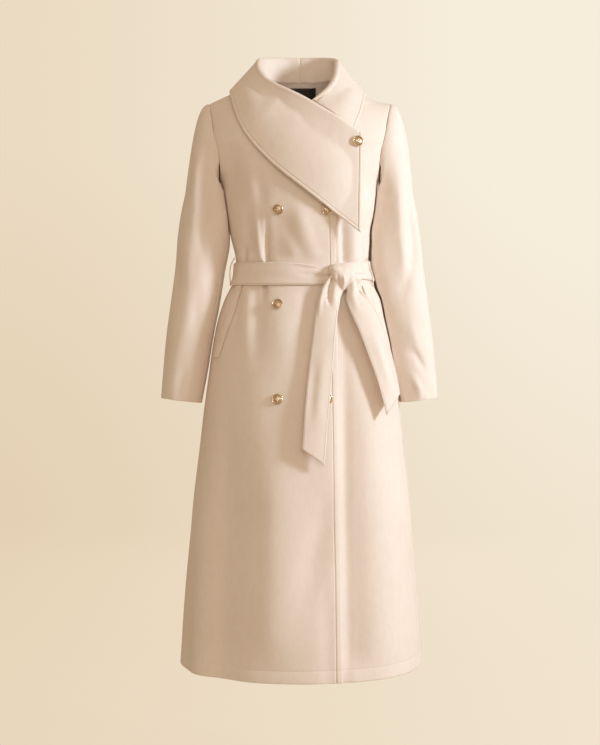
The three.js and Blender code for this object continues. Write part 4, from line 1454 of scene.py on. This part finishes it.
def stage_finish():
    """Matt paper sweep that glows with painted light, paler towards the key's side and high up."""
    finish, tree = new_finish("studio paper")
    place = add_node(tree, "ShaderNodeTexCoord").outputs["Object"]
    parts = add_node(tree, "ShaderNodeSeparateXYZ", {0: place})
    # Painted light: the glow is paler towards the key's side, +X, and higher up.
    across = add_node(
        tree,
        "ShaderNodeMapRange",
        {"Value": parts.outputs["X"], "From Min": -2.2, "From Max": 2.2},
        interpolation_type="SMOOTHSTEP",
    )
    high = add_node(
        tree,
        "ShaderNodeMapRange",
        {"Value": parts.outputs["Z"], "From Min": -1.4, "From Max": 0.9, "To Max": 0.35},
    )
    share = add_node(tree, "ShaderNodeMath", {0: across.outputs[0], 1: 0.75}, operation="MULTIPLY")
    share = add_node(
        tree, "ShaderNodeMath", {0: share.outputs[0], 1: high.outputs[0]}, operation="ADD", use_clamp=True
    )
    colour = add_node(
        tree,
        "ShaderNodeMix",
        {"Factor": share.outputs[0], 6: linear("#EBD7BA"), 7: linear("#FFF6E4")},
        data_type="RGBA",
    )
    # The paper's own colour is dark, and what shows is its glow, which is painted light.
    shader = add_node(
        tree,
        "ShaderNodeBsdfPrincipled",
        {
            "Base Color": linear("#3A352E"),
            "Roughness": 0.95,
            "Specular IOR Level": 0.0,
            "Emission Color": colour.outputs[2],
            "Emission Strength": 0.9,
        },
    )
    add_node(tree, "ShaderNodeOutputMaterial", {"Surface": shader.outputs[0]})
    return finish


# ---------------------------------------------------------------- rows of stitches

STITCH_PITCH = 3.6
STITCH_LENGTH = 2.6
THREAD_THICK = 0.55
# How far the middle of a stitch lies off the cloth.
THREAD_OFF = 0.12


def stitch_tree():
    """Lays one small oval stitch on each point, along the seam and flat on the cloth."""
    tree = bpy.data.node_groups.new("row of stitches", "GeometryNodeTree")
    sockets = {}
    for label, kind in (
        ("Points", "NodeSocketGeometry"),
        ("Stitch length", "NodeSocketFloat"),
        ("Thread thickness", "NodeSocketFloat"),
        ("Thread", "NodeSocketMaterial"),
    ):
        sockets[label] = tree.interface.new_socket(label, in_out="INPUT", socket_type=kind).identifier
    tree.interface.new_socket("Stitches", in_out="OUTPUT", socket_type="NodeSocketGeometry")
    given = add_node(tree, "NodeGroupInput")
    bead = add_node(tree, "GeometryNodeMeshUVSphere", {"Segments": 5, "Rings": 4, "Radius": 0.5})
    size = add_node(
        tree,
        "ShaderNodeCombineXYZ",
        {
            "X": given.outputs["Thread thickness"],
            "Y": given.outputs["Thread thickness"],
            "Z": given.outputs["Stitch length"],
        },
    )
    stitch = add_node(
        tree, "GeometryNodeTransform", {"Geometry": bead.outputs["Mesh"], "Scale": size.outputs[0]}
    )
    run = add_node(tree, "GeometryNodeInputNamedAttribute", {"Name": "run"}, data_type="FLOAT_VECTOR")
    face = add_node(tree, "GeometryNodeInputNamedAttribute", {"Name": "face"}, data_type="FLOAT_VECTOR")
    turned = add_node(
        tree, "FunctionNodeAlignEulerToVector", {"Vector": run.outputs["Attribute"]}, axis="Z"
    )
    turned = add_node(
        tree,
        "FunctionNodeAlignEulerToVector",
        {"Rotation": turned.outputs[0], "Vector": face.outputs["Attribute"]},
        axis="X",
        pivot_axis="Z",
    )
    laid = add_node(
        tree,
        "GeometryNodeInstanceOnPoints",
        {"Points": given.outputs["Points"], "Instance": stitch.outputs[0], "Rotation": turned.outputs[0]},
    )
    real = add_node(tree, "GeometryNodeRealizeInstances", {"Geometry": laid.outputs[0]})
    soft = add_node(tree, "GeometryNodeSetShadeSmooth", {"Geometry": real.outputs[0]})
    dressed = add_node(
        tree, "GeometryNodeSetMaterial", {"Geometry": soft.outputs[0], "Material": given.outputs["Thread"]}
    )
    add_node(tree, "NodeGroupOutput", {"Stitches": dressed.outputs[0]})
    return tree, sockets


def seam_run(outer, edge, at, start=0.0):
    """Points, directions and normals of the stitches on a line a set distance in from one edge."""
    distance = edge_distance(outer, edge)
    if edge in ("bottom", "top"):
        outer = outer.transpose(1, 0, 2)
        distance = distance.T
    normals = grid_normals(outer)
    line, facing = [], []
    for points, away, normal in zip(outer, distance, normals):
        order = np.argsort(away)
        line.append(read_line(points[order], away[order], at))
        facing.append(read_line(normal[order], away[order], at))
    line, facing = np.array(line), np.array(facing)
    length = run_length(line)
    spots = np.arange(start * length[-1] + STITCH_PITCH, length[-1] - STITCH_PITCH, STITCH_PITCH)
    place = read_line(line, length, spots)
    return place, read_line(line, length, spots + 1) - place, read_line(facing, length, spots)


def stitched_rows(name, runs, away, thread, tree):
    """A piece of its own, made of all the stitches of the runs."""
    group, sockets = tree
    place, run, face = (np.concatenate([r[k] for r in runs]) for k in range(3))
    face /= np.linalg.norm(face, axis=-1, keepdims=True)
    face *= np.sign(np.sum(face * away(place), axis=-1, keepdims=True))
    mesh = bpy.data.meshes.new(name)
    mesh.from_pydata(((place + face * THREAD_OFF) * MM).tolist(), [], [])
    for label, values in (("run", run), ("face", face)):
        stored = mesh.attributes.new(label, "FLOAT_VECTOR", "POINT")
        stored.data.foreach_set("vector", values.astype(np.float32).ravel())
    holder = place_in_scene(name, mesh)
    layer = holder.modifiers.new("stitches", "NODES")
    layer.node_group = group
    layer[sockets["Stitch length"]] = STITCH_LENGTH * MM
    layer[sockets["Thread thickness"]] = THREAD_THICK * MM
    layer[sockets["Thread"]] = thread
    bpy.context.view_layer.update()
    made = bpy.data.meshes.new_from_object(holder.evaluated_get(bpy.context.evaluated_depsgraph_get()))
    holder.modifiers.remove(layer)
    bpy.data.objects.remove(holder)
    for label in ("run", "face"):
        if label in made.attributes:
            made.attributes.remove(made.attributes[label])
    return place_in_scene(name.replace(" ", "_"), made)


# ---------------------------------------------------------------- making the coat

wool = milled_wool()
thread = spun_thread()
satin = label_satin()
brass = polished_brass()
stitches = stitch_tree()
# The outer side of each piece of cloth, by the node it stands for.
outers = {}


def keep(piece, slot, *nodes):
    """Puts a piece on the coat's one body and in place of its nodes. The slot is not used."""
    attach(piece, "root")
    if nodes:
        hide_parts(*nodes)


def sew(name, node, grid, cloth, finish=wool, slot="wool", away=from_axis, **edges):
    """Makes a piece of cloth around its node, and keeps its outer side for what is sewn to it."""
    piece, outers[node] = cloth_shell(name, grid, cloth, finish, away, **edges)
    keep(piece, slot, node)
    return piece


# A front's stitched edge as a share of its width, with the columns in it and the step beyond it. The
# right front's edge shows and is drawn finer.
EDGE_BAND = 0.062
FRONT_COLUMNS = {"right": (33, 3.4), "left": (12, 4.4)}
FRONT_WIDTH = 400
FRONT_STEP = 5.2
BACK_WIDTH = 320
BACK_STEP = 5


def make_body():
    for side, name in SIDES:
        count, step = FRONT_COLUMNS[name]
        band = np.linspace(0, EDGE_BAND, count)
        beyond = 1 - EDGE_BAND
        rest = spread(FRONT_WIDTH * beyond, step, last=SEAM_EDGE) * beyond + EDGE_BAND
        u = np.concatenate([band[:-1], rest])
        piece = sew(
            name + " front cloth",
            name + "_front",
            panel_grid(side, "front", u, FRONT_STEP, FRONT_FOLDS),
            COAT_CLOTH,
            free=("first", "bottom"),
            seams=("last", "top"),
            stitched=(("first", EDGE_STITCH, EDGE_PRESS), ("bottom", HEM_TURN_UP, HEM_PRESS)),
        )
    for side, name in SIDES:
        u = spread(BACK_WIDTH, BACK_STEP, first=SEAM_EDGE, last=SEAM_EDGE)
        piece = sew(
            name + " back cloth",
            name + "_back",
            panel_grid(side, "back", u, BACK_STEP, BACK_FOLDS),
            COAT_CLOTH,
            free=("bottom",),
            seams=("first", "last", "top"),
            stitched=(("bottom", HEM_TURN_UP, HEM_PRESS),),
        )


# Sleeves: side, name, how far back the tube hangs, the ring point of the front seam, and folds.
SLEEVES = (
    (-1, "right", 0, 1.4, RIGHT_SLEEVE_FOLDS),
    (1, "left", 26, 2.1, LEFT_SLEEVE_FOLDS),
)
# Shares of the way from the armhole seam to the tube, and rows down the tube.
CAP_STEPS = np.concatenate([[0, 0.012, 0.03, 0.055, 0.09], np.linspace(0.13, 0.97, 22)])
TUBE_ROWS = 96
SLEEVE_COLUMNS = {"top": 88, "under": 40}


def make_sleeves():
    heights = SLEEVE_SECTIONS["z"]
    turn_up = np.array(stitched_edge(HEM_TURN_UP))[::-1] / (heights[-2] - heights[-1])
    cuff = len(heights) - 1 - turn_up
    tube = np.concatenate([np.linspace(0, cuff[0], TUBE_ROWS)[:-1], cuff])
    edge = np.array(SEAM_EDGE) / RING_SPAN
    for side, name, shift, seam, folds in SLEEVES:
        whole = np.arange(0, float(RING_POINTS))
        middle = sleeve_grid(side, shift, whole, CAP_STEPS, tube, folds).mean(axis=1)
        for part, start, stop in (("top", seam, BACK_SEAM), ("under", BACK_SEAM, RING_POINTS + seam)):
            inner = np.linspace(start + edge[-1], stop - edge[-1], SLEEVE_COLUMNS[part])
            w = np.concatenate([start + edge[:-1], inner, (stop - edge[:-1])[::-1]])
            node = "%s_%s_sleeve" % (name, part)
            piece = sew(
                "%s %s sleeve cloth" % (name, part),
                node,
                sleeve_grid(side, shift, w, CAP_STEPS, tube, folds),
                COAT_CLOTH,
                away=lambda grid: grid - middle[:, None],
                free=("top",),
                seams=("first", "last", "bottom"),
            )


COLLAR_STEP = 4.6


def make_collar():
    for side, node, rows, end, lines in (
        (-1, "right_collar_and_lapel", RIGHT_COLLAR, RIGHT_COLLAR_END, ("last", "top")),
        (1, "left_collar", LEFT_COLLAR, None, ("last",)),
    ):
        piece = sew(
            node + "_cloth",
            node,
            collar_grid(side, rows, end, COLLAR_STEP),
            COLLAR_CLOTH,
            free=("last", "top"),
            seams=("bottom",),
            stitched=[(edge, COLLAR_STITCH, COLLAR_PRESS) for edge in lines],
            centred=True,
        )


def make_belt():
    band = sew(
        "tie belt", "belt", belt_grid(), BELT_CLOTH, free=("bottom", "top"), ring=True, centred=True
    )
    for name, rows, folds in (
        ("right", RIGHT_TAIL, RIGHT_TAIL_FOLDS),
        ("left", LEFT_TAIL, LEFT_TAIL_FOLDS),
    ):
        node = "belt_end_" + name
        tail = sew(
            "tie belt end " + name,
            node,
            tail_grid(rows, folds),
            BELT_CLOTH,
            free=("first", "last", "top"),
            centred=True,
        )
    keep(knot_lump("tie belt knot", WRAP, WRAP_FOLDS, wool), "wool", "belt_knot")
    keep(knot_lump("tie belt tuck", TUCK, TUCK_FOLDS, wool), "wool")


ALL_EDGES = ("first", "last", "bottom", "top")


def make_trims():
    for name, angle, stand in LOOPS:
        sew(
            "loop of the belt " + name,
            "belt_loop_" + name,
            loop_grid(angle, stand),
            LOOP_CLOTH,
            free=ALL_EDGES,
            centred=True,
        )
    for side, name in SIDES:
        sew(
            name + " pocket edge cloth",
            name + "_pocket_edge",
            pocket_grid(side),
            WELT_CLOTH,
            free=ALL_EDGES,
            stitched=(("first", WELT_STITCH, WELT_PRESS), ("last", WELT_STITCH, WELT_PRESS)),
            centred=True,
        )
    sew(
        "label satin",
        "neck_label",
        label_grid(),
        LABEL_CLOTH,
        finish=satin,
        slot="label",
        free=ALL_EDGES,
        centred=True,
    )


# The cloth within about this distance of a button decides which way the button faces.
BUTTON_NEAR = 9


def make_buttons():
    pairs = [("button_" + column + row, "right_front") for row in "123" for column in "ab"]
    for node, carrier in pairs + [("lapel_button", "right_collar_and_lapel")]:
        low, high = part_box(node)
        centre = np.array((low + high) / 2) / MM
        outer = outers[carrier]
        gap = np.linalg.norm(outer - centre, axis=-1)
        spot = np.unravel_index(np.argmin(gap), gap.shape)
        near = np.exp(-((gap / BUTTON_NEAR) ** 2))
        normal = (grid_normals(outer) * near[..., None]).sum(axis=(0, 1))
        normal /= np.linalg.norm(normal)
        if normal[1] > 0:
            normal = -normal
        seat = centre - normal * np.dot(centre - outer[spot], normal)
        keep(button_mesh("brass " + node, seat, normal, brass), "buttons", node)


# The lapel's upper edge is stitched from this share of its length on.
LAPEL_FROM = 0.2


def make_stitches():
    lapel = outers["right_collar_and_lapel"]
    rows = (
        (
            "front edge stitching",
            [seam_run(outers[name + "_front"], "first", EDGE_STITCH) for _, name in SIDES],
        ),
        (
            "collar and lapel stitching",
            [
                seam_run(outers["left_collar"], "last", COLLAR_STITCH),
                seam_run(lapel, "last", COLLAR_STITCH),
                seam_run(lapel, "top", COLLAR_STITCH, LAPEL_FROM),
            ],
        ),
        (
            "pocket stitching",
            [
                seam_run(outers[name + "_pocket_edge"], edge, WELT_STITCH)
                for _, name in SIDES
                for edge in ("first", "last")
            ],
        ),
    )
    for name, runs in rows:
        keep(stitched_rows(name, runs, from_axis, thread, stitches), "wool")


make_body()
make_sleeves()
make_collar()
make_belt()
make_trims()
make_buttons()
make_stitches()

# ---------------------------------------------------------------- studio

FLOOR_Z = -1460
# The sweep, in metres: where its flat floor ends, the curve's radius, and the wall's top.
SWEEP_FLAT = 4.2
SWEEP_CURVE = 2.4
SWEEP_TOP = 8
SWEEP_ROWS = 13
SWEEP_COLUMNS = 96
AIR = 0.66
AIR_COLOUR = "#F3D8B8"
# Lamps: name, direction to it, distance and size in metres, watts and colour.
LAMPS = (
    ("key", (0.89, -0.38, 0.33), 2.6, 0.5, 53, (0.75, 0.87, 1.0)),
    ("fill", (0.1, -0.95, 0.3), 4.5, 3.0, 34, (1.0, 0.93, 0.86)),
    ("back", (0.05, 0.95, 0.3), 3.8, 1.4, 42, (1.0, 0.96, 0.9)),
)
LAMP_AIM_Z = -600
# The camera: how far in front and how high it stands, and half of the width seen at the coat.
CAMERA_FAR = 2800
CAMERA_Z = -614
SEEN_HALF = 630


def make_sweep():
    """A round paper sweep: a flat floor that curves up into a wall all the way round."""
    corner = np.linspace(0, math.pi / 2, SWEEP_ROWS)
    radius = np.concatenate(
        [[0.001, 1.5], SWEEP_FLAT + SWEEP_CURVE * np.sin(corner), [SWEEP_FLAT + SWEEP_CURVE]]
    )
    height = np.concatenate([[0, 0], SWEEP_CURVE * (1 - np.cos(corner)), [SWEEP_TOP]]) + FLOOR_Z * MM
    turn = np.linspace(0, 2 * math.pi, SWEEP_COLUMNS, endpoint=False)
    x = np.outer(radius, np.cos(turn))
    y = np.outer(radius, np.sin(turn))
    z = np.outer(height, np.ones(SWEEP_COLUMNS))
    points = np.stack([x, y, z], axis=-1).reshape(-1, 3) / MM
    sweep = new_object("studio floor", points, round_faces(len(radius), SWEEP_COLUMNS), stage_finish())
    sweep.visible_diffuse = sweep.visible_glossy = sweep.visible_shadow = False


def make_air():
    """Soft warm light from all round, a little weaker from the wearer's right."""
    world = bpy.data.worlds.new("studio air")
    bpy.context.scene.world = world
    world.use_nodes = True
    tree = world.node_tree
    tree.nodes.clear()
    way = add_node(tree, "ShaderNodeTexCoord").outputs["Generated"]
    parts = add_node(tree, "ShaderNodeSeparateXYZ", {0: way})
    side = add_node(
        tree,
        "ShaderNodeMapRange",
        {"Value": parts.outputs["X"], "From Min": -1.0, "From Max": 1.0, "To Min": 0.76, "To Max": 1.04},
    )
    strength = add_node(tree, "ShaderNodeMath", {0: side.outputs[0], 1: AIR}, operation="MULTIPLY")
    air = add_node(
        tree, "ShaderNodeBackground", {"Color": linear(AIR_COLOUR), "Strength": strength.outputs[0]}
    )
    add_node(tree, "ShaderNodeOutputWorld", {"Surface": air.outputs[0]})


def hang_lamps():
    aim = np.array([0, 0, LAMP_AIM_Z * MM])
    for name, towards, far, size, power, colour in LAMPS:
        lamp = bpy.data.lights.new(name, "AREA")
        lamp.shape = "DISK"
        lamp.size = size
        lamp.energy = power
        lamp.color = colour
        holder = place_in_scene(name, lamp)
        direction = np.array(towards) / np.linalg.norm(towards)
        holder.location = aim + direction * far
        holder.rotation_euler = Vector(-direction).to_track_quat("-Z", "Y").to_euler()


def set_camera():
    lens = bpy.data.cameras.new("camera")
    lens.sensor_fit = "HORIZONTAL"
    lens.angle = 2 * math.atan(SEEN_HALF / CAMERA_FAR)
    camera = place_in_scene("camera", lens)
    camera.location = (0, -CAMERA_FAR * MM, CAMERA_Z * MM)
    camera.rotation_euler = (math.pi / 2, 0, 0)
    bpy.context.scene.camera = camera
    bpy.context.scene.view_settings.view_transform = "Standard"


make_sweep()
make_air()
hang_lamps()
set_camera()
